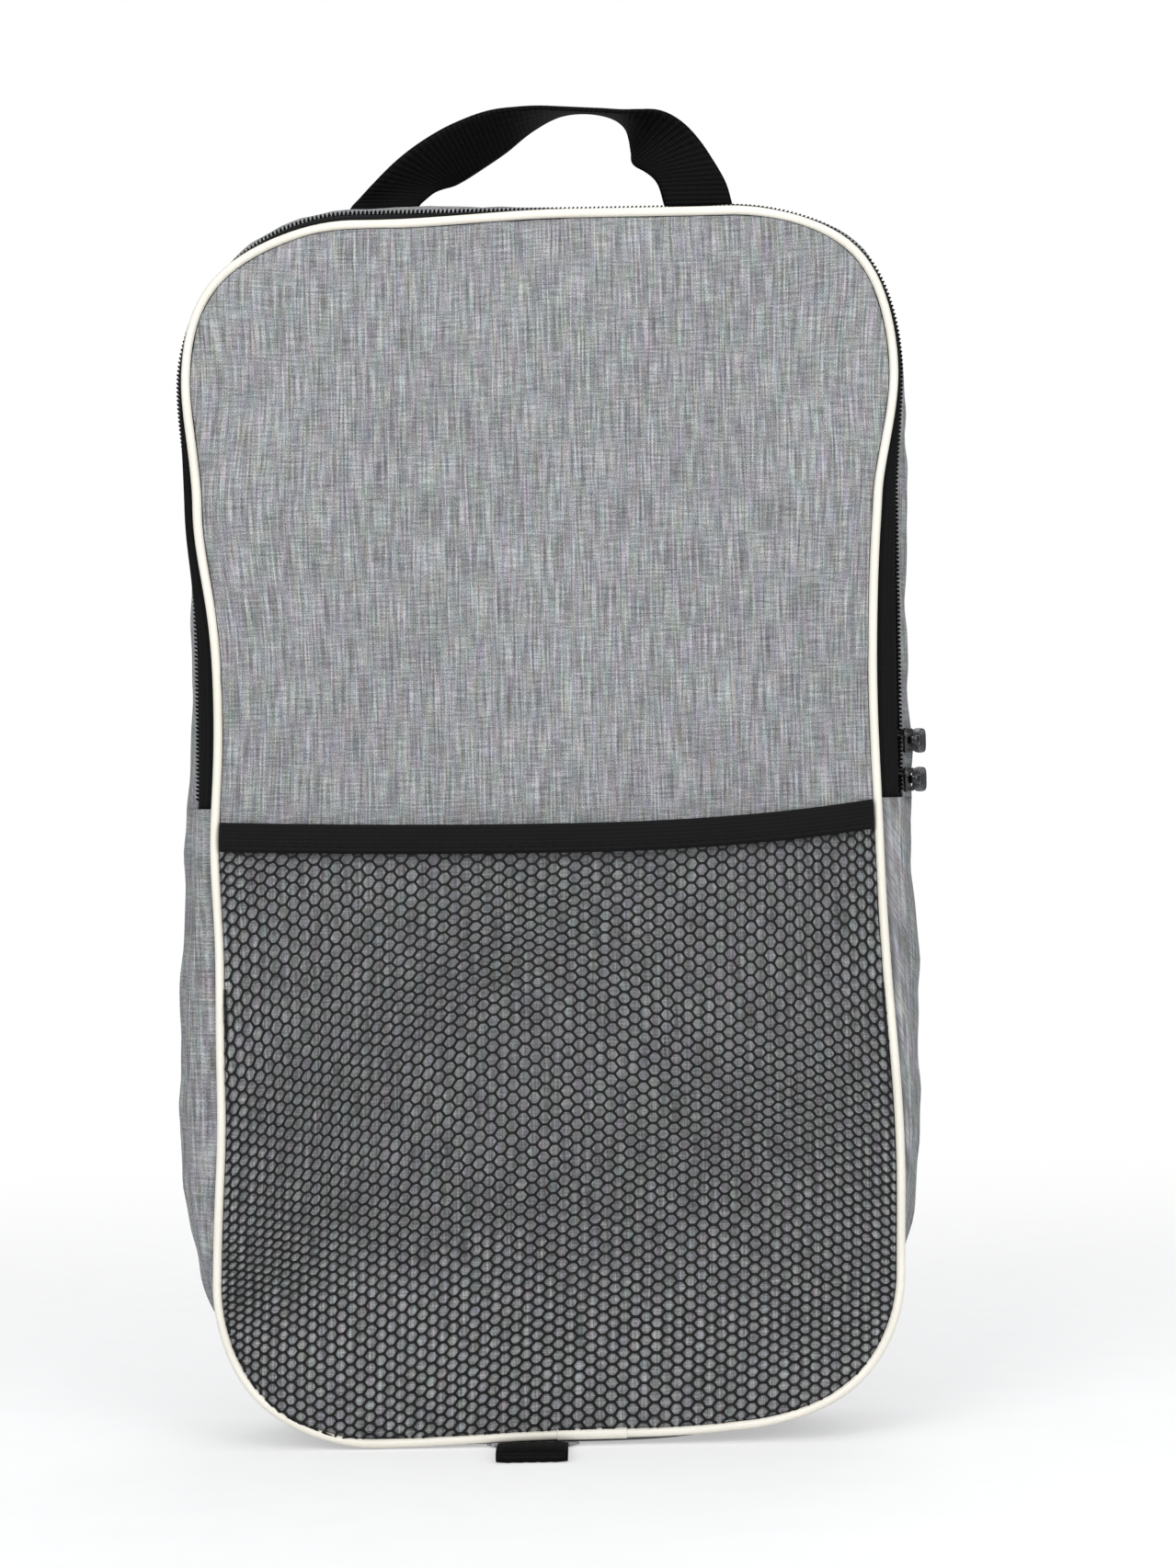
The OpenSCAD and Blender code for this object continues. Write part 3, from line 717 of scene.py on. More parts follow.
def strip(name, depths, inset, thick, rim, wrinkled=False):
    """A strip of the side between depths: rim gives the points at a depth and inset."""
    outer, inner, uv = [], [], []
    for v in depths:
        plain = rim(v, inset)
        push = outwards(plain) * side_wrinkle(plain, v)[:, None] if wrinkled else 0
        outer.append(plain + push)
        inner.append(rim(v, inset + thick) + push)
        uv.append(np.stack([np.full(len(plain), v), lengths(plain)], 1))
    return sheet_between(name, settle(np.array(outer)), settle(np.array(inner)), np.array(uv))


def steps(a, b, n):
    return list(np.linspace(a, b, n + 1))


SWELL_END = ZIP_DEPTH + ZIP_FLAT + SIDE_RISE
BACK_LAP = FABRIC_T + LAYER_GAP


def round_corner(start, radius, angles):
    """Depths round a corner of the side, closest where it turns most."""
    return [start + radius * (1 - math.cos(math.radians(a))) for a in angles]


corner_depths = round_corner(DEPTH, -SIDE_CORNER, range(90, 20, -9))
rear_depths = steps(SWELL_END + 3 * MM, corner_depths[0] - 3 * MM, 9) + corner_depths
swell_depths = steps(ZIP_DEPTH + ZIP_FLAT, SWELL_END, 10)
base_depths = round_corner(SEAM_V, BASE_CORNER, range(0, 91, 10))
lower_depths = base_depths + [v for v in swell_depths if v > base_depths[-1] + MM] + rear_depths
lower_depths.append(DEPTH - BACK_LAP)


def at_back_seam(v):
    """0 on the back seam, where the side's edge turns in to meet the panel's."""
    return 0 if v > DEPTH - BACK_LAP - 0.01 * MM else None


def side_upper(v, inset):
    return upper_rim(v, inset, at_back_seam(v), start=FOLD_Z)


def side_lower(v, inset):
    return lower_rim(v, inset, at_back_seam(v), at_back_seam(v), end=FOLD_Z)


gusset_upper = strip("side_upper_fabric", swell_depths + rear_depths + [DEPTH - BACK_LAP], 0,
                     FABRIC_T, side_upper, wrinkled=True)
dress(gusset_upper, "heather_fabric", "root", "gusset_upper_fabric")
gusset_lower = strip("side_lower_fabric", lower_depths, 0, FABRIC_T, side_lower, wrinkled=True)
dress(gusset_lower, "heather_fabric", "root", "gusset_lower_fabric")

LINED_FROM = 19.1 * MM
LINED_TO = DEPTH - 1.2 * MM
lining_upper = strip("side_upper_lining",
                     [LINED_FROM] + [v for v in swell_depths + rear_depths
                                     if LINED_FROM + MM < v < LINED_TO],
                     BACK_LAP, LINING_T, side_upper, wrinkled=True)
dress(lining_upper, "lining", "root", "gusset_upper_lining")
lining_lower = strip("side_lower_lining",
                     [v for v in lower_depths if LINING_START + MM < v < LINED_TO],
                     BACK_LAP, LINING_T, side_lower, wrinkled=True)
dress(lining_lower, "lining", "root", "gusset_lower_lining")


# ---------------------------------------------------------------- piping and bindings


def sweep_rim(name, section, rim, closed=False):
    """Sweeps a closed section round a rim. Each of its points is (outwards, depth)."""
    rows = [rim(v, -out) for out, v in section]
    rings = np.stack(rows, 1)
    along = lengths(rings.mean(1))
    round_it = lengths(np.array(list(section) + [section[0]]))[:-1]
    return tube_mesh(name, settle(rings), closed, cloth_map(round_it, along))


def circle(r, v):
    a = np.linspace(0, 2 * math.pi, 16, endpoint=False)
    return [(r * math.cos(t), v + r * math.sin(t)) for t in a]


def rounded(w0, w1, v0, v1, r):
    """A rounded rectangle from w0 to w1 outwards and v0 to v1 in depth."""
    out = []
    for cx, cy, start in ((w1 - r, v1 - r, 0), (w0 + r, v1 - r, 90), (w0 + r, v0 + r, 180),
                          (w1 - r, v0 + r, 270)):
        for a in np.radians(np.linspace(start, start + 90, 5)):
            out.append((cx + r * math.cos(a), cy + r * math.sin(a)))
    return out


PIPING_V = PIPING_Y - FRONT_Y
SPLICE_LOW, SPLICE_HIGH = (low("piping_splice", X), high("piping_splice", X))


piping = sweep_rim("piping_cord", circle(PIPING_R, PIPING_V), seam_rim, closed=True)
across_fold(dress(piping, "piping", None, "piping_upper", "piping_lower"))


def splice_sleeve():
    """The short sleeve over the piping's joined ends: a step at each end."""
    rings, uv = [], []
    length = SPLICE_HIGH - SPLICE_LOW
    a = np.linspace(0, 2 * math.pi, 24, endpoint=False)
    for along in (0, 0.15, 0.6, 1.2, length / MM / 2, length / MM - 1.2, length / MM - 0.6,
                  length / MM - 0.15, length / MM):
        end = min(along, length / MM - along)
        r = PIPING_R * (1.02 + 0.20 * float(quarter(end / 0.7)))
        x = SPLICE_LOW + along * MM
        rings.append(np.stack([np.full(24, x), PIPING_Y + r * np.cos(a), PANEL_BASE + r * np.sin(a)], 1))
        uv.append(np.stack([a * r, np.full(24, along * MM)], 1))
    return tube_mesh("piping_sleeve", settle(np.array(rings)), uv=np.array(uv))


dress(splice_sleeve(), "piping", "root", "piping_splice")

BINDING_OUT, BINDING_W, BINDING_T = 1.0 * MM, 4.8 * MM, 2.4 * MM


def binding(name, rim, v0, closed=False):
    section = rounded(-BINDING_OUT - BINDING_W, -BINDING_OUT, v0, v0 + BINDING_T, 1.0 * MM)
    return sweep_rim(name, section, rim, closed)


def upper_seam(v, inset):
    return upper_rim(v, inset, s=0)


def lower_seam(v, inset):
    return lower_rim(v, inset, s=0, q=0)


dress(binding("seam_tape_upper", upper_seam, SEAM_V), "binding", "flap", "seam_binding_upper")
dress(binding("seam_tape_lower", lower_seam, SEAM_V), "binding", "root", "seam_binding_lower")
binding_back = binding("seam_tape_back", seam_rim, DEPTH - BACK_LAP - LAYER_GAP - BINDING_T,
                       closed=True)
dress(binding_back, "binding", "root", "seam_binding_back")


# ---------------------------------------------------------------- zip

COIL_FRONT_V = ZIP_DEPTH - COIL_GAP / 2 - COIL_W
COIL_REAR_V = ZIP_DEPTH + COIL_GAP / 2
STOP_ROOM = 2.3 * MM
COIL_START = FOLD_HIGH + STOP_ROOM
REAR_TAPE_V = COIL_REAR_V + COIL_W
REAR_TAPE_W = 5.5 * MM

TAPE_DIP = 1.2 * MM
front_tape_depths = round_corner(SEAM_V, ZIP_CORNER, range(8, 91, 9))


def tape_rim(v, inset):
    """The front tape turns in under the coil, which stands proud of it."""
    return upper_rim(v, inset + TAPE_DIP * smooth((v - 3 * MM) / (4.2 * MM)))


tape_front = strip("zip_tape_front", front_tape_depths + [COIL_FRONT_V + 0.3 * MM], TAPE_IN, TAPE_T,
                   tape_rim)
dress(tape_front, "zip_tape", "flap", "zip_tape_front")
tape_rear = strip("zip_tape_rear", steps(REAR_TAPE_V, REAR_TAPE_V + REAR_TAPE_W, 6), TAPE_IN,
                  TAPE_T, upper_rim)
dress(tape_rear, "zip_tape", "root", "zip_tape_rear")


def resampled(points, pitch):
    """Points at an even spacing along a line, with the outward way at each."""
    out = outwards(points)
    run = lengths(points)
    count = max(2, int(run[-1] / pitch))
    at = (np.arange(count) + 0.5) * run[-1] / count
    return read_off(at, run, points), unit(read_off(at, run, out))


TOOTH_PITCH = 1.5 * MM


def coil(name, v0, toward):
    """A row of coil turns along the zip. Toward is 1 where the turns reach towards the back."""
    v_mid = v0 + COIL_W / 2
    line = upper_rim(v_mid, TAPE_IN + TAPE_T / 2, start=COIL_START, straight=60)
    place, out = resampled(settle(line), TOOTH_PITCH)
    along = np.stack([-out[:, Z], np.zeros(len(out)), out[:, X]], 1)
    back = np.array([0, 1.0, 0])
    r = 0.36 * MM
    bend = np.radians(np.linspace(-78, 78, 5))
    half_w, half_t = COIL_W / 2 - r, COIL_T / 2 - r
    path = [(-half_w * toward, half_t)]
    path += [(toward * (half_w - half_t + half_t * math.cos(a)), half_t * math.sin(a))
             for a in bend[::-1]]
    path += [(-half_w * toward, -half_t)]
    path = np.array(path)
    ways = unit(np.gradient(path, axis=0))
    ring = np.radians(np.arange(0, 360, 72))
    verts, faces = [], []
    for p, o, t in zip(place, out, along):
        faces += tube_faces(len(path), len(ring), len(verts))
        for i, (b, w) in enumerate(path):
            side = ways[i][0] * o - ways[i][1] * back
            lean = t * (i / (len(path) - 1) - 0.5) * TOOTH_PITCH * 0.5
            middle = p + b * back + w * o + lean
            for a in ring:
                verts.append(middle + r * (math.cos(a) * t + math.sin(a) * side))
    return outward(new_object(name, verts, faces))


dress(coil("zip_coil_front", COIL_FRONT_V, 1), "zip_coil", "flap", "zip_coil_front")
dress(coil("zip_coil_rear", COIL_REAR_V, -1), "zip_coil", "root", "zip_coil_rear")


def extruded(name, outline, start, thick):
    """A plate in the Y-Z plane, from start outwards along X."""
    bm = bmesh.new()
    verts = [bm.verts.new((start, y, z)) for y, z in outline]
    edges = [bm.edges.new((verts[i - 1], verts[i])) for i in range(len(verts))]
    bmesh.ops.triangle_fill(bm, edges=edges, use_beauty=True)
    made = bmesh.ops.extrude_face_region(bm, geom=bm.faces[:])
    moved = [v for v in made["geom"] if isinstance(v, bmesh.types.BMVert)]
    bmesh.ops.translate(bm, verts=moved, vec=(thick, 0, 0))
    bmesh.ops.recalc_face_normals(bm, faces=bm.faces)
    bmesh.ops.dissolve_limit(bm, angle_limit=0.01, verts=bm.verts, edges=bm.edges)
    return from_bmesh(name, bm)


def box_piece(name, lo, hi):
    return extruded(name, [(lo[1], lo[2]), (hi[1], lo[2]), (hi[1], hi[2]), (lo[1], hi[2])], lo[0],
                    hi[0] - lo[0])


for side in ("right", "left"):
    node = "zip_stop_" + side
    stop = box_piece(node, *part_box(node))
    dress(bevelled(stop, 0.5 * MM), "black_metal", "root", node)


# ---------------------------------------------------------------- sliders and pullers

SLIDER_L = 9 * MM
SLIDER_W = 8.8 * MM
PLATE_T = 1.2 * MM
OUTER_X = COIL_T / 2 + 0.35 * MM
INNER_X = COIL_T / 2 + 0.9 * MM
BRIDGE_RISE = 2 * MM
BRIDGE_T = 1.2 * MM
BRIDGE_W = 1.6 * MM
BRIDGE_X = OUTER_X + PLATE_T + BRIDGE_RISE + BRIDGE_T / 2
LINK_R, LINK_HOLE_R, LINK_H, LINK_T, LINK_L = (v * MM for v in (2.3, 1.3, 3, 1.2, 7))
TAB_START = 3.5 * MM
PULLER_L = 22 * MM
PULLER_W = 9 * MM
PULLER_T = 2.6 * MM
PULLER_LEAN = math.radians(12)


def slider_outline(from_y):
    half, end = SLIDER_W / 2, SLIDER_L / 2
    right = [(half - 1.6 * MM, -end), (half - 0.6 * MM, -end * 0.7), (half - 0.1 * MM, 0),
             (half, end * 0.45), (half - 0.5 * MM, end * 0.8), (half - 1.4 * MM, end)]
    if from_y > -half:
        return right + [(from_y, end), (from_y, -end)]
    return right + [(0, end - 0.5 * MM)] + [(-y, z) for y, z in reversed(right)]


def slider(name):
    top = bevelled(extruded("top", slider_outline(-SLIDER_W), OUTER_X, PLATE_T), 0.32 * MM)
    under = bevelled(extruded("under", slider_outline(-0.8 * MM), -INNER_X - PLATE_T, PLATE_T),
                     0.28 * MM)
    post = bevelled(box_piece("post", (-INNER_X - 0.1 * MM, -0.4 * MM, SLIDER_L / 2 - 3 * MM),
                              (OUTER_X + 0.1 * MM, 0.4 * MM, SLIDER_L / 2 - 0.4 * MM)), 0.1 * MM)
    rise = BRIDGE_RISE + BRIDGE_T
    half = SLIDER_L / 2 - 0.2 * MM
    arch, inside = [], []
    for a in range(0, 181, 12):
        c, q = math.cos(math.radians(a)), math.sin(math.radians(a))
        arch.append((half * squared_off(c, 0.45), rise * q ** 0.45))
        inside.append(((half - 1.5 * MM) * squared_off(c, 0.5), (rise - BRIDGE_T) * q ** 0.5))
    outline = arch + inside[::-1]
    base = OUTER_X + PLATE_T - 0.15 * MM
    bm = bmesh.new()
    near = [bm.verts.new((base + w, -BRIDGE_W / 2, u)) for u, w in outline]
    far = [bm.verts.new((base + w, BRIDGE_W / 2, u)) for u, w in outline]
    n = len(arch)
    for i in range(n - 1):
        j = 2 * n - 1 - i
        bm.faces.new((near[i], near[i + 1], near[j - 1], near[j]))
        bm.faces.new((far[j], far[j - 1], far[i + 1], far[i]))
    for i in range(2 * n):
        k = (i + 1) % (2 * n)
        bm.faces.new((near[i], far[i], far[k], near[k]))
    bmesh.ops.recalc_face_normals(bm, faces=bm.faces)
    return join(name, [top, under, post, bevelled(from_bmesh("loop", bm), 0.25 * MM)])


def link(name):
    """The wire loop on the bridge, drawn out into a tongue inside the moulded puller."""
    rings = []
    for a in np.linspace(0, 2 * math.pi, 48, endpoint=False):
        mid = (LINK_R + LINK_HOLE_R) / 2
        half_r, half_h = (LINK_R - LINK_HOLE_R) / 2 * 0.96, LINK_H / 2
        ring = []
        for t in np.linspace(0, 2 * math.pi, 16, endpoint=False):
            c, q = math.cos(t), math.sin(t)
            r = mid + half_r * squared_off(c, 0.6)
            ring.append((r * math.cos(a), r * math.sin(a), half_h * squared_off(q, 0.6)))
        rings.append(ring)
    eye = tube_mesh("eye", rings, closed=True)
    tongue = bevelled(box_piece("tongue", (-LINK_T / 2, LINK_HOLE_R + 0.45 * MM, -LINK_H / 2),
                                (LINK_T / 2, LINK_L, LINK_H / 2)), 0.3 * MM)
    return join(name, [eye, tongue])


def puller(name):
    """A moulded tab: rounded ends, a waist below its neck, a raised rim and a sunk middle."""
    outline = []
    for k in range(64):
        a = 2 * math.pi * k / 64
        c, q = math.cos(a), math.sin(a)
        along = TAB_START + PULLER_L / 2 + PULLER_L / 2 * squared_off(c, 0.42)
        share = (along - TAB_START) / PULLER_L
        width = PULLER_W / 2 * (0.80 + 0.20 * smooth((share - 0.06) / 0.35))
        outline.append((along, width * squared_off(q, 0.55)))
    outline = np.array(outline)
    middle = np.array([TAB_START + PULLER_L / 2, 0])
    half = PULLER_T / 2
    # Size of the outline, and height over the middle plane, from the rim's side to the face
    face = [(0.985, 0.55), (0.95, 0.86), (0.90, 1.0), (0.80, 1.0), (0.74, 0.80), (0.70, 0.66),
            (0.45, 0.64), (0.12, 0.64)]
    rows = face[::-1] + [(1.0, 0)] + [(s, -h) for s, h in face]
    rings = []
    for s, h in rows:
        ring = middle + (outline - middle) * [0.5 + 0.5 * s if s > 0.7 else s, s]
        rings.append(np.stack([np.full(len(ring), h * half), ring[:, 0], ring[:, 1]], 1))
    body = tube_mesh("body", np.array(rings))
    ribs = []
    for k in range(5):
        y = TAB_START + PULLER_L * (0.42 + 0.085 * k)
        w = PULLER_W * 0.21
        for sign in (-1, 1):
            lo = (sign * half * 0.6, y, -w)
            hi = (sign * half * 0.9, y + 0.7 * MM, w)
            lo, hi = np.minimum(lo, hi), np.maximum(lo, hi)
            ribs.append(bevelled(box_piece("rib", lo, hi), 0.18 * MM, 2))
    return join(name, [body] + ribs)


def moved(ob, at, turn=0.0):
    """Turns a mesh about its Z axis and then moves it."""
    c, q = math.cos(turn), math.sin(turn)
    co = np.empty(len(ob.data.vertices) * 3)
    ob.data.vertices.foreach_get("co", co)
    co = co.reshape(-1, 3) @ np.array([[c, q, 0], [-q, c, 0], [0, 0, 1]]) + np.asarray(at)
    ob.data.vertices.foreach_set("co", co.ravel())
    ob.data.update()
    return ob


ZIP_X = WAIST_HALF + (MID_HALF - WAIST_HALF) * ZIP_SHARE - TAPE_IN - TAPE_T / 2
ZIP_Y = FRONT_Y + ZIP_DEPTH
for letter in "ab":
    node = f"slider_{letter}_body"
    centre = np.array([ZIP_X, ZIP_Y, (low(node, Z) + high(node, Z)) / 2])
    pivot = centre + [BRIDGE_X, 0, 0]
    dress(moved(slider(f"slider_{letter}"), centre), "black_metal", f"slider_{letter}", node)
    dress(moved(link(f"puller_{letter}_loop"), pivot, -PULLER_LEAN), "black_metal",
          f"puller_{letter}", f"puller_{letter}_link")
    dress(moved(puller(f"puller_{letter}_grip"), pivot, -PULLER_LEAN), "moulded_puller",
          f"puller_{letter}", f"puller_{letter}_tab")


# ---------------------------------------------------------------- pocket

POCKET_FULL_Z, POCKET_LOW_Z = 150 * MM, 30 * MM
POCKET_WAVES = Waves(6, 40 * MM, 120 * MM, 24)


def stand_off(x, half, z):
    """How far the mesh stands off the panel: none at its sewn edges."""
    edge = 1 - np.minimum(1, np.abs(x) / half) ** 4
    rise = smooth((z - POCKET_LOW_Z) / (POCKET_FULL_Z - POCKET_LOW_Z))
    return MESH_GAP + POCKET_GAP * edge * rise


def pocket_y(x, half, z):
    """The back of the mesh."""
    p = np.stack([x, np.zeros_like(x), z], -1)
    drape = 0.5 * MM * POCKET_WAVES(p) * (1 - np.minimum(1, np.abs(x) / half) ** 4)
    rise = smooth((z - POCKET_LOW_Z) / (POCKET_FULL_Z - POCKET_LOW_Z))
    return front_face(x, half, z) - stand_off(x, half, z) - drape * rise


def panel_half(z):
    """Half the width of a panel's seam line at any height: the base corners are included, the top
    corners are not.
    """
    z = np.asarray(z, float)
    arc = np.sqrt(np.maximum(0, BOTTOM_R ** 2 - np.minimum(0, z - BOTTOM_CENTRE_Z) ** 2))
    return np.where(z < BOTTOM_CENTRE_Z, HIP_HALF - BOTTOM_R + arc, seam_half(z))


HEX_W, HEX_H = 4.95 * MM, 4.4 * MM
NET_TOP_EDGE = 0.56
STRAND = 0.55 * MM


def mouth_z(x):
    """Height of the pocket's mouth: it sags in the middle and is drawn up at the right."""
    t = x / WAIST_HALF
    return (2.3 * np.minimum(t, 0) ** 2 + 6.8 * np.maximum(t, 0) ** 2.4 - 3.0) * MM


def pocket_point(x, z):
    """Where a point of the flat mesh lies. The hem carries its upper edge up and down."""
    x, z = np.asarray(x, float), np.asarray(z, float)
    half = panel_half(z)
    share = smooth((z - 120 * MM) / (POCKET_TOP - 120 * MM))
    lifted = z + mouth_z(x) * share
    return np.stack([x, pocket_y(x, half, lifted), lifted], -1)


NET_WAVES = Waves(7, 60 * MM, 160 * MM, 16)


def net_rows(x, z):
    """How far the net's rows are drawn down at a point: they arch over the pocket's middle."""
    t = x / HIP_HALF
    near_hem = smooth((z - 150 * MM) / (70 * MM))
    pull = 24 * MM * smooth((z - 10 * MM) / (110 * MM)) * (1 - 0.45 * near_hem)
    return pull * np.abs(t) ** 2.1 - 0.07 * x + 1.6 * MM * NET_WAVES(np.stack([x, 0 * x, z], -1))


def hex_mesh():
    """Knitted net: strands along the edges of a hexagon pattern, sewn down at its rim."""
    across, up = HEX_W * 0.75, HEX_H / 2
    reach = EDGE_INSET + 0.2 * MM
    verts, index, edges = [], {}, set()

    def corner(i, j, k):
        """Corner k of the hexagon in column i and half-row j."""
        half = (across * (1 - NET_TOP_EDGE / 2), across * NET_TOP_EDGE / 2)[k % 3 > 0]
        x = i * across + half * (1, 1, -1, -1, -1, 1)[k]
        z = j * up + up * (0, 1, 1, 0, -1, -1)[k]
        key = (round(x / (0.2 * MM)), round(z / (0.2 * MM)))
        if key not in index:
            index[key] = len(verts)
            verts.append((x, z))
        return index[key]

    columns = int(HIP_HALF / across) + 8
    rows = int((POCKET_TOP - PANEL_BASE) / up) + 20
    for i in range(-columns, columns + 1):
        for j in range(-6, rows + 1):
            if (i + j) % 2:
                continue
            ring = [corner(i, j, k) for k in range(6)]
            for k in range(6):
                edges.add(tuple(sorted((ring[k], ring[(k + 1) % 6]))))
    flat = np.array(verts)
    # The net is squeezed towards its sides and its rows are drawn down there
    t = flat[:, 0] / HIP_HALF
    x = flat[:, 0] * (1.03 - 0.06 * t ** 2) + 0.05 * (flat[:, 1] - 110 * MM) * (1 - t ** 2)
    z = flat[:, 1] + PANEL_BASE
    z = z - net_rows(x, z)
    limit_x, floor_z, top_z = panel_half(z) - reach, PANEL_BASE + reach, POCKET_TOP - 2 * MM
    inside = (np.abs(x) < limit_x) & (z > floor_z) & (z < top_z)
    kept = [e for e in edges if inside[e[0]] or inside[e[1]]]
    used = sorted({v for e in kept for v in e})
    renumber = {v: i for i, v in enumerate(used)}
    x, z = x[used], np.clip(z[used], floor_z, top_z + 0.6 * MM)
    limit = panel_half(z) - reach
    x = np.clip(x, -limit, limit)
    centre = pocket_point(x, z) - [0, MESH_T / 2, 0]
    return settle(centre), [(renumber[a], renumber[b]) for a, b in kept]


def net(name, points, edges):
    """Flat braided strands between points: six-sided, and wider where they meet."""
    points = np.asarray(points)
    verts, faces = [], []
    front = np.array([0, 1.0, 0])
    ring = np.radians([0, 60, 120, 180, 240, 300])
    for a, b in edges:
        p, q = points[a], points[b]
        size = np.linalg.norm(q - p)
        if size < 0.3 * MM:
            continue
        d = (q - p) / size
        side = unit(np.cross(d, front))
        up = np.cross(side, d)
        faces += tube_faces(4, len(ring), len(verts))
        for t, w in ((-0.05, 1.1), (0.28, 0.82), (0.72, 0.82), (1.05, 1.1)):
            for r in ring:
                verts.append(p + d * size * t + STRAND * w * math.cos(r) * side
                             + MESH_T * 0.42 * math.sin(r) * up)
    return outward(new_object(name, verts, faces))


mesh_pocket = net("mesh_pocket", *hex_mesh())
dress(mesh_pocket, "mesh", "root", "mesh_pocket")

BAND_TOP = POCKET_TOP + 1 * MM
BAND_LOW = BAND_TOP - BAND_H
STITCHED_AT = 0.24  # share of the hem's height


def hem_band():
    """The folded elastic hem: a flat tube with fine ribs along it."""
    columns, around = 260, []
    w = np.concatenate([np.linspace(0, 1, 27), np.linspace(1, 0, 15)[1:-1]])
    x_share = np.sin(np.linspace(-1, 1, columns + 1) * math.pi / 2 * 0.9)
    x_share /= x_share[-1]
    for k, t in enumerate(w):
        z = BAND_LOW + BAND_H * t
        half = seam_half(np.full(columns + 1, z))
        x = x_share * (half - EDGE_INSET)
        lifted = z + mouth_z(x)
        y = pocket_y(x, half, lifted) - MESH_T - LAYER_GAP
        edge = 2 * min(t, 1 - t) / 0.35
        thick = BAND_T * min(1.0, math.sqrt(max(0.0, 1 - (1 - min(1, edge)) ** 2)))
        if k < 27:
            rib = 0.10 * MM * math.cos(2 * math.pi * t * 8)
            stitch = np.exp(-(((t - STITCHED_AT) / 0.045) ** 2))
            y = y - thick - rib * min(1, edge) + 0.28 * MM * stitch
        around.append(np.stack([x, y, lifted], -1))
    rings = np.array(around).transpose(1, 0, 2)
    round_it = lengths(rings[columns // 2])
    uv = np.stack(np.broadcast_arrays(rings[..., X].mean(1)[:, None], round_it[None]), -1)
    return tube_mesh("pocket_hem", settle(rings), uv=uv)


hem = hem_band()
dress(hem, "elastic", "root", "pocket_band")


THREAD_R = 0.22 * MM
THREAD_SINK = 0.12 * MM


def stitches(name, line, face_way, stitch, gap):
    """A row of thread stitches along a line of points, each bowed over the cloth."""
    line, way = np.asarray(line), np.asarray(face_way)
    run = lengths(line)
    verts, faces = [], []
    at = 0.6 * MM
    while at + stitch < run[-1]:
        here = at + np.linspace(0, 1, 6) * stitch
        place = read_off(here, run, line)
        out = unit(read_off(here, run, way))
        rise = np.array([-1.6, 0.1, 0.7, 0.7, 0.1, -1.6]) * THREAD_R * 0.7
        place = place + out * (rise - THREAD_SINK)[:, None]
        along = unit(np.gradient(place, axis=0))
        side = np.cross(along, out)
        faces += tube_faces(len(place), 6, len(verts))
        for p, s, o in zip(place, side, out):
            for a in np.radians(np.arange(0, 360, 60)):
                verts.append(p + THREAD_R * (math.cos(a) * s + 0.8 * math.sin(a) * o))
        at += stitch + gap
    return outward(new_object(name, verts, faces))


stitch_x = np.linspace(-1, 1, 160) * (seam_half(np.array([BAND_LOW]))[0] - EDGE_INSET - 1.5 * MM)
stitch_z = np.full(160, BAND_LOW + STITCHED_AT * BAND_H) + mouth_z(stitch_x)
stitch_half = seam_half(stitch_z)
stitch_y = pocket_y(stitch_x, stitch_half, stitch_z) - MESH_T - LAYER_GAP - BAND_T + 0.15 * MM
hem_thread = stitches("pocket_hem_thread", settle(np.stack([stitch_x, stitch_y, stitch_z], 1)),
                      np.tile([0, -1.0, 0], (160, 1)), 2.8 * MM, 1.2 * MM)
dress(hem_thread, "elastic", "root", material="thread")


# ---------------------------------------------------------------- handle

WEBBING_W, WEBBING_T = 25 * MM, 1.8 * MM
HANDLE_SPAN = 115 * MM
HANDLE_Y = (low("handle_strap", Y) + high("handle_strap", Y)) / 2
HANDLE_Z = CASE_TOP + LAYER_GAP + WEBBING_T + 0.3 * MM + WEBBING_T / 2

# The strap's centre line: x and height over its feet in mm, and the webbing's turn in degrees,
# 0 for flat and 90 for edge-on
HANDLE_LINE = [
    (-57.5, -1.15, 0), (-56.6, 0.8, 0), (-54.4, 2.9, 3), (-49.5, 7.2, 18), (-39, 14.6, 40),
    (-27.5, 21.2, 46), (-15.5, 27.0, 57), (-3, 31.8, 79), (9, 34.2, 95), (22, 33.8, 97),
    (31.5, 31.2, 86), (38.5, 26.4, 50), (44, 21.0, 20), (50, 14.4, 6), (55, 7.4, 2),
    (57.5, -1.15, 0)]


def handle_centre():
    """A smooth curve through the strap's points, evenly stepped."""
    count = 110
    keys = np.array(HANDLE_LINE, float)
    padded = np.concatenate([[2 * keys[0] - keys[1]], keys, [2 * keys[-1] - keys[-2]]])
    curve = []
    for i in range(1, len(padded) - 2):
        p0, p1, p2, p3 = padded[i - 1:i + 3]
        for t in np.linspace(0, 1, 24, endpoint=False):
            curve.append(0.5 * (2 * p1 + (p2 - p0) * t + (2 * p0 - 5 * p1 + 4 * p2 - p3) * t ** 2
                                + (3 * p1 - p0 - 3 * p2 + p3) * t ** 3))
    curve = np.array(curve + [keys[-1]])
    run = lengths(curve[:, :2])
    at = np.linspace(0, run[-1], count)
    x, up, turn = read_off(at, run, curve).T
    mids = np.stack([x * MM, np.full(count, HANDLE_Y), HANDLE_Z + up * MM], 1)
    return mids, np.radians(turn)


def webbing_section():
    """Half-width and thickness points of ribbed webbing with rounded selvedges."""
    w = np.linspace(-1, 1, 18)
    rib = 1 - 0.10 * np.cos(np.linspace(0, 2 * math.pi * 6, len(w)))
    edge = np.sqrt(np.clip(1 - np.abs(w) ** 14, 0, 1))
    top = np.stack([w * WEBBING_W / 2, rib * edge * WEBBING_T / 2], 1)
    return np.concatenate([top[1:-1], [[WEBBING_W / 2, 0]], (top * [1, -1])[::-1][1:-1],
                           [[-WEBBING_W / 2, 0]]])


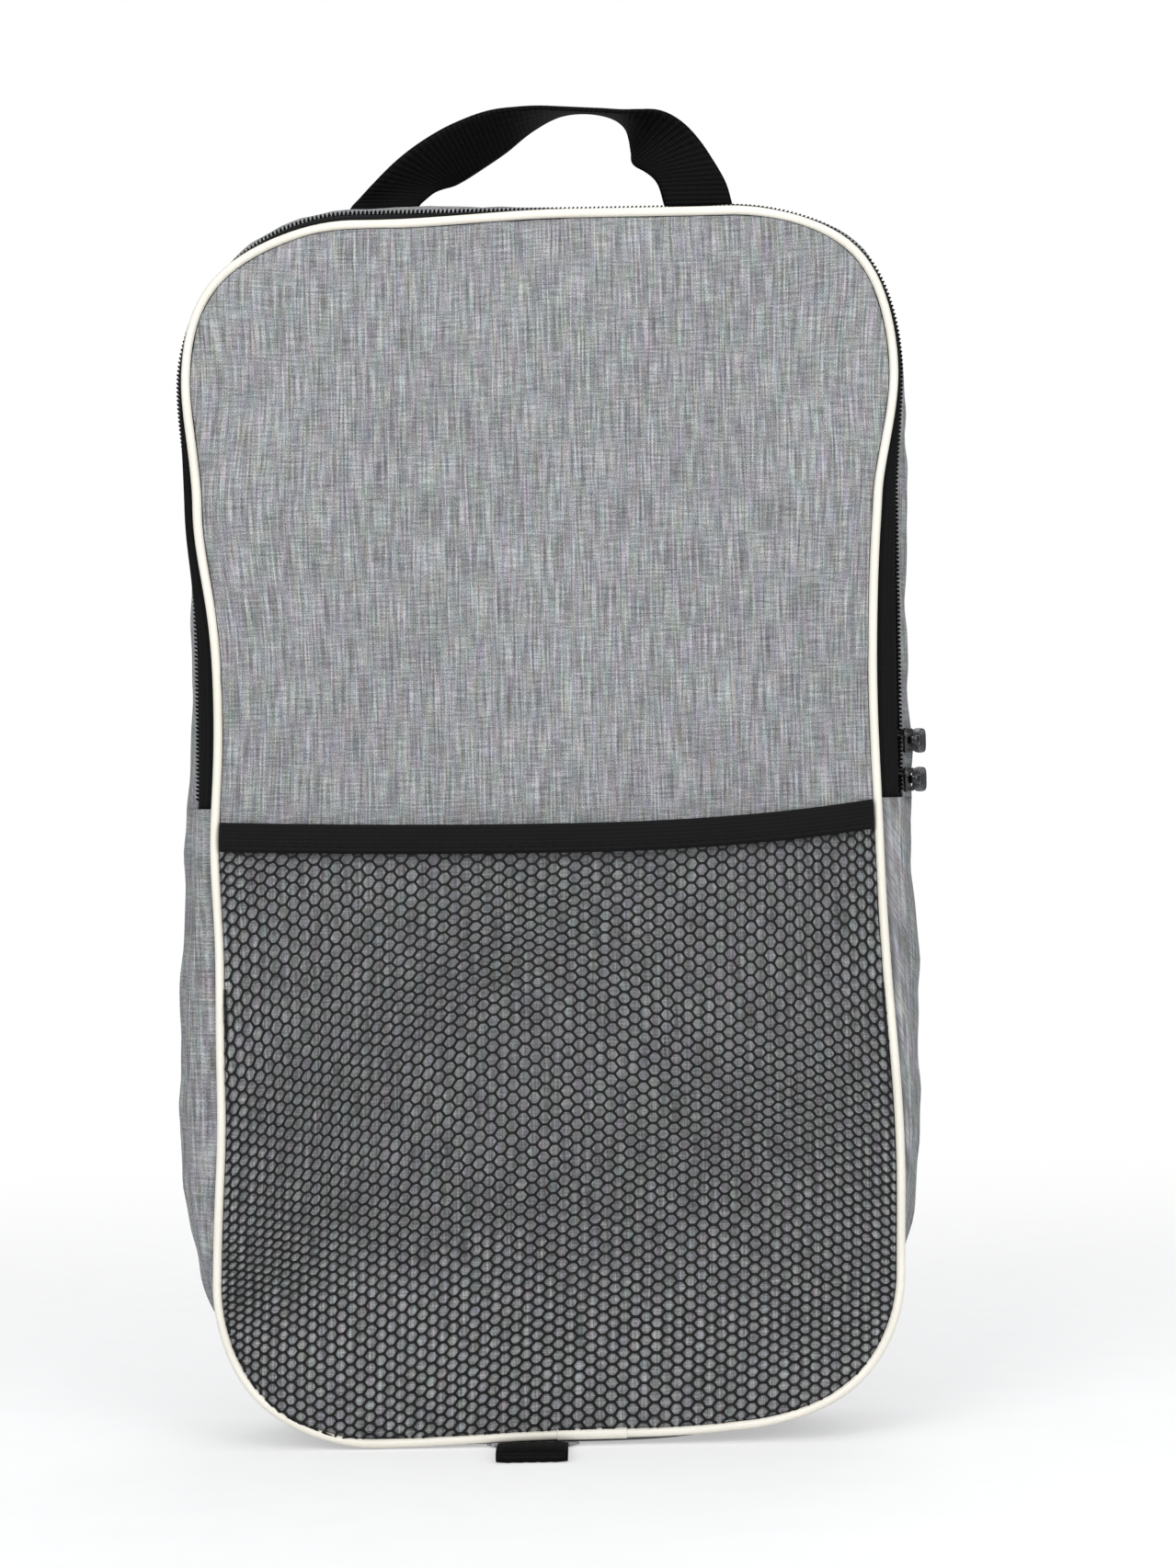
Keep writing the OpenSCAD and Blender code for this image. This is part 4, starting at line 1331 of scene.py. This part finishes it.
def handle():
    """Webbing that lies flat at its feet and turns edge-on towards its top."""
    mids, turns = handle_centre()
    section = webbing_section()
    rings, uv = [], []
    run = lengths(mids)
    ways = np.gradient(mids, axis=0)
    for i, (mid, way, turn) in enumerate(zip(mids, ways, turns)):
        along = unit(way)
        side = np.cross([0, 1.0, 0], along)
        # Each end is sewn down level, so the webbing shears there instead of turning
        sewn = 1 - smooth((min(run[i], run[-1] - run[i]) - 6 * MM) / (32 * MM))
        side = mix(side, np.array([1.0 if i < len(mids) / 2 else -1.0, 0, 0]), sewn)
        side = unit(side)
        broad = math.cos(turn) * side + math.sin(turn) * np.array([0, 1.0, 0])
        flat = unit(np.cross(along, broad))
        rings.append([mid + broad * w + flat * t for w, t in section])
        uv.append(np.stack([section[:, 0], np.full(len(section), run[i])], 1))
    return tube_mesh("handle_webbing", np.array(rings), uv=np.array(uv))


dress(handle(), "webbing", "handle", "handle_strap")
FOOT_L = 17 * MM


def flat_webbing(name, centre_x, y0, y1, z0):
    """A short length of webbing that lies flat, its ends turned under."""
    section = webbing_section()
    ys = np.concatenate([y0 + np.array([0, 0.15, 0.5]) * MM, np.linspace(y0, y1, 24)[2:-2],
                         y1 - np.array([0.5, 0.15, 0]) * MM])
    ends = np.minimum(ys - y0, y1 - ys) / (0.9 * MM)
    size = 0.45 + 0.55 * quarter(ends)
    middle = z0 + WEBBING_T / 2
    rings = [[(centre_x + w, y, middle + t * s) for w, t in section] for y, s in zip(ys, size)]
    return tube_mesh(name, np.array(rings), uv=cloth_map(section[:, 0], ys))


feet_z = CASE_TOP + LAYER_GAP
feet = [flat_webbing("foot", sign * HANDLE_SPAN / 2, HANDLE_Y - WEBBING_T / 2,
                     HANDLE_Y - WEBBING_T / 2 + FOOT_L, feet_z) for sign in (-1, 1)]
feet = join("handle_feet", feet)
dress(feet, "webbing", "root", "handle_feet")
foot_threads = []
for sign in (-1, 1):
    cx, top = sign * HANDLE_SPAN / 2, feet_z + WEBBING_T - 0.05 * MM
    y0, y1 = HANDLE_Y + 3.5 * MM, HANDLE_Y + FOOT_L - 3.5 * MM
    w = WEBBING_W / 2 - 2.5 * MM
    loop = [(cx - w, y0, top), (cx + w, y0, top), (cx + w, y1, top), (cx - w, y1, top),
            (cx - w, y0, top), (cx + w, y1, top)]
    foot_threads.append(stitches("sewn", loop, np.tile([0, 0, 1.0], (6, 1)), 1.9 * MM, 0.5 * MM))
dress(join("handle_feet_thread", foot_threads), "webbing", "root", material="thread")


# ---------------------------------------------------------------- base tab

TAB_X = (low("tab_loop", X) + high("tab_loop", X)) / 2
TAB_HINGE_Y = PIPING_Y - PIPING_R - 2 * MM
TAB_L, TAB_T = 30 * MM, 4.2 * MM


def tab_patch():
    """A trapezoid of the case's fabric, sewn under the front seam."""
    lo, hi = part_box("tab_patch")
    rows = []
    for t in np.linspace(0, 1, 13):
        y = lo[1] + (hi[1] - lo[1]) * t
        half = WEBBING_W / 2 + 1 * MM + (3 * MM) * t
        end = min(1.0, min(t, 1 - t) * 12 + 0.45)
        ring = []
        for k in range(40):
            a = 2 * math.pi * k / 40
            c, q = math.cos(a), math.sin(a)
            z = (lo[Z] + hi[Z]) / 2 + (hi[Z] - lo[Z]) / 2 * end * squared_off(q, 0.5)
            ring.append((TAB_X + half * squared_off(c, 0.12), y, z))
        rows.append(ring)
    rows = np.array(rows)
    return tube_mesh("tab_patch", rows, uv=rows[..., [X, Y]])


dress(tab_patch(), "heather_fabric", "root", "tab_patch")


def tab_loop():
    """Webbing folded over on itself: two plies from the hinge to a rounded fold."""
    r = TAB_T / 2
    ply = 1.15 * MM
    start, reach = 0.7 * MM, TAB_L - r
    top0 = 2 * (low("tab_patch", Z) + 0.9 * MM)
    outer = [(mix(start, reach, t), 0.02 * MM) for t in np.linspace(0, 1, 14)]
    outer += [(reach + r * math.cos(a), r + r * math.sin(a))
              for a in np.radians(np.linspace(-80, 80, 12))]
    outer += [(mix(start, reach, t), mix(top0, TAB_T, smooth(t * 1.2)))
              for t in np.linspace(1, 0, 14)]
    outer = np.array(outer)
    d = np.gradient(outer, axis=0)
    n = np.stack([-d[:, 1], d[:, 0]], 1)
    inner = outer + unit(n) * ply
    section_w = np.linspace(-1, 1, 18)
    w = section_w * WEBBING_W / 2
    thin = 1 - np.abs(section_w) ** 10
    rib = 0.08 * MM * (1 - np.cos(np.linspace(0, 2 * math.pi * 6, 18)))
    share = (0.25 + 0.75 * thin) * (1 - rib / (ply / 2))

    def ply_face(line, middle):
        """One face of the webbing, thinner at its selvedges and between its ribs."""
        rows = middle[:, None] + (line - middle)[:, None] * share[:, None]
        x = np.broadcast_to(TAB_X + w, rows.shape[:2])
        return np.stack([x, TAB_HINGE_Y - rows[..., 0], rows[..., 1]], -1)

    middle = (outer + inner) / 2
    return sheet_between("tab_webbing", ply_face(outer, middle), ply_face(inner, middle),
                         cloth_map(w, lengths(outer)))


dress(tab_loop(), "webbing", "tab", "tab_loop")


# ---------------------------------------------------------------- floor, light and camera


def look_along(ob, place, target, roll=0.0):
    way = mathutils.Vector(target) - mathutils.Vector(place)
    turn = way.to_track_quat("-Z", "Y")
    ob.rotation_euler = (turn.to_matrix() @ mathutils.Matrix.Rotation(roll, 3, "Z")).to_euler()
    ob.location = place


CAMERA_X, CAMERA_Z, CAMERA_AWAY = 13.5 * MM, 234.6 * MM, 1388 * MM
CAMERA_ROLL = math.radians(-1.0)
camera = linked("camera", bpy.data.cameras.new("camera"))
bpy.context.scene.camera = camera
camera.data.lens = 87.6
camera.data.sensor_fit = "VERTICAL"
camera.data.sensor_height = 36
camera.data.clip_start = 0.05
camera.data.clip_end = 30
look_along(camera, (CAMERA_X, -CAMERA_AWAY, CAMERA_Z), (CAMERA_X, 0, CAMERA_Z), CAMERA_ROLL)


def lamp(name, place, target, size, power):
    data = bpy.data.lights.new(name, "AREA")
    data.shape = "RECTANGLE"
    data.size, data.size_y = size
    data.energy = power
    look_along(linked(name, data), place, target)


lamp("front_left", (-1.1, -2.3, 1.4), (0, 0, 0.25), (1.4, 1.4), 38)
lamp("front_right", (1.3, -2.2, 1.1), (0, 0, 0.25), (1.4, 1.4), 28)
lamp("front_top", (0, -1.0, 1.1), (0, 0, 0.45), (0.7, 0.5), 2.6)
lamp("over", (0, -0.2, 2.2), (0, 0, 0.2), (2.4, 1.8), 15)
lamp("behind", (0.4, 2.0, 1.7), (0, 0, 0.25), (1.6, 1.6), 16)


def floor_material():
    """Pale floor. For the camera it fades into the white behind it away from the case."""
    n = Nodes("floor")
    place = n.add("ShaderNodeTexCoord").outputs["Object"]
    speck = n.noise(place, 40, 3.0).outputs[0]
    tone = n.ramp(speck, [(0.3, grey(0.90)), (0.7, grey(0.93))])
    n.finish(Base_Color=tone, Roughness=0.8, Specular_IOR_Level=0.1)
    away = n.add("ShaderNodeVectorMath", {0: place}, operation="LENGTH").outputs[1]
    fade = n.add("ShaderNodeMapRange", {"Value": away, "From Min": 0.25, "From Max": 1.1,
                                        "To Min": 0.45, "To Max": 1.0},
                 interpolation_type="SMOOTHSTEP").outputs[0]
    seen = n.add("ShaderNodeLightPath").outputs["Is Camera Ray"]
    white = n.add("ShaderNodeEmission", {"Color": (1, 1, 1, 1), "Strength": 1.0}).outputs[0]
    both = n.add("ShaderNodeMixShader", {0: n.math("MULTIPLY", fade, seen),
                                         1: n.shader.outputs[0], 2: white}).outputs[0]
    out = next(node for node in n.tree.nodes if node.type == "OUTPUT_MATERIAL")
    n.tree.links.new(both, out.inputs[0])
    return n.mat


floor = new_object("floor", [(-6, -6, 0), (6, -6, 0), (6, 6, 0), (-6, 6, 0)], [[0, 1, 2, 3]])
floor.data.materials.append(floor_material())

world = bpy.data.worlds.new("world")
bpy.context.scene.world = world
world.use_nodes = True
tree = world.node_tree
tree.nodes.clear()
output, seen, lit, choose, path = (tree.nodes.new("ShaderNode" + kind) for kind in (
    "OutputWorld", "Background", "Background", "MixShader", "LightPath"))
for node, colour, strength in ((seen, (1, 1, 1, 1), 1.0), (lit, (0.93, 0.96, 1, 1), 0.36)):
    node.inputs[0].default_value = colour
    node.inputs[1].default_value = strength
tree.links.new(path.outputs["Is Camera Ray"], choose.inputs[0])
tree.links.new(lit.outputs[0], choose.inputs[1])
tree.links.new(seen.outputs[0], choose.inputs[2])
tree.links.new(choose.outputs[0], output.inputs[0])

bpy.context.scene.view_settings.view_transform = "Standard"
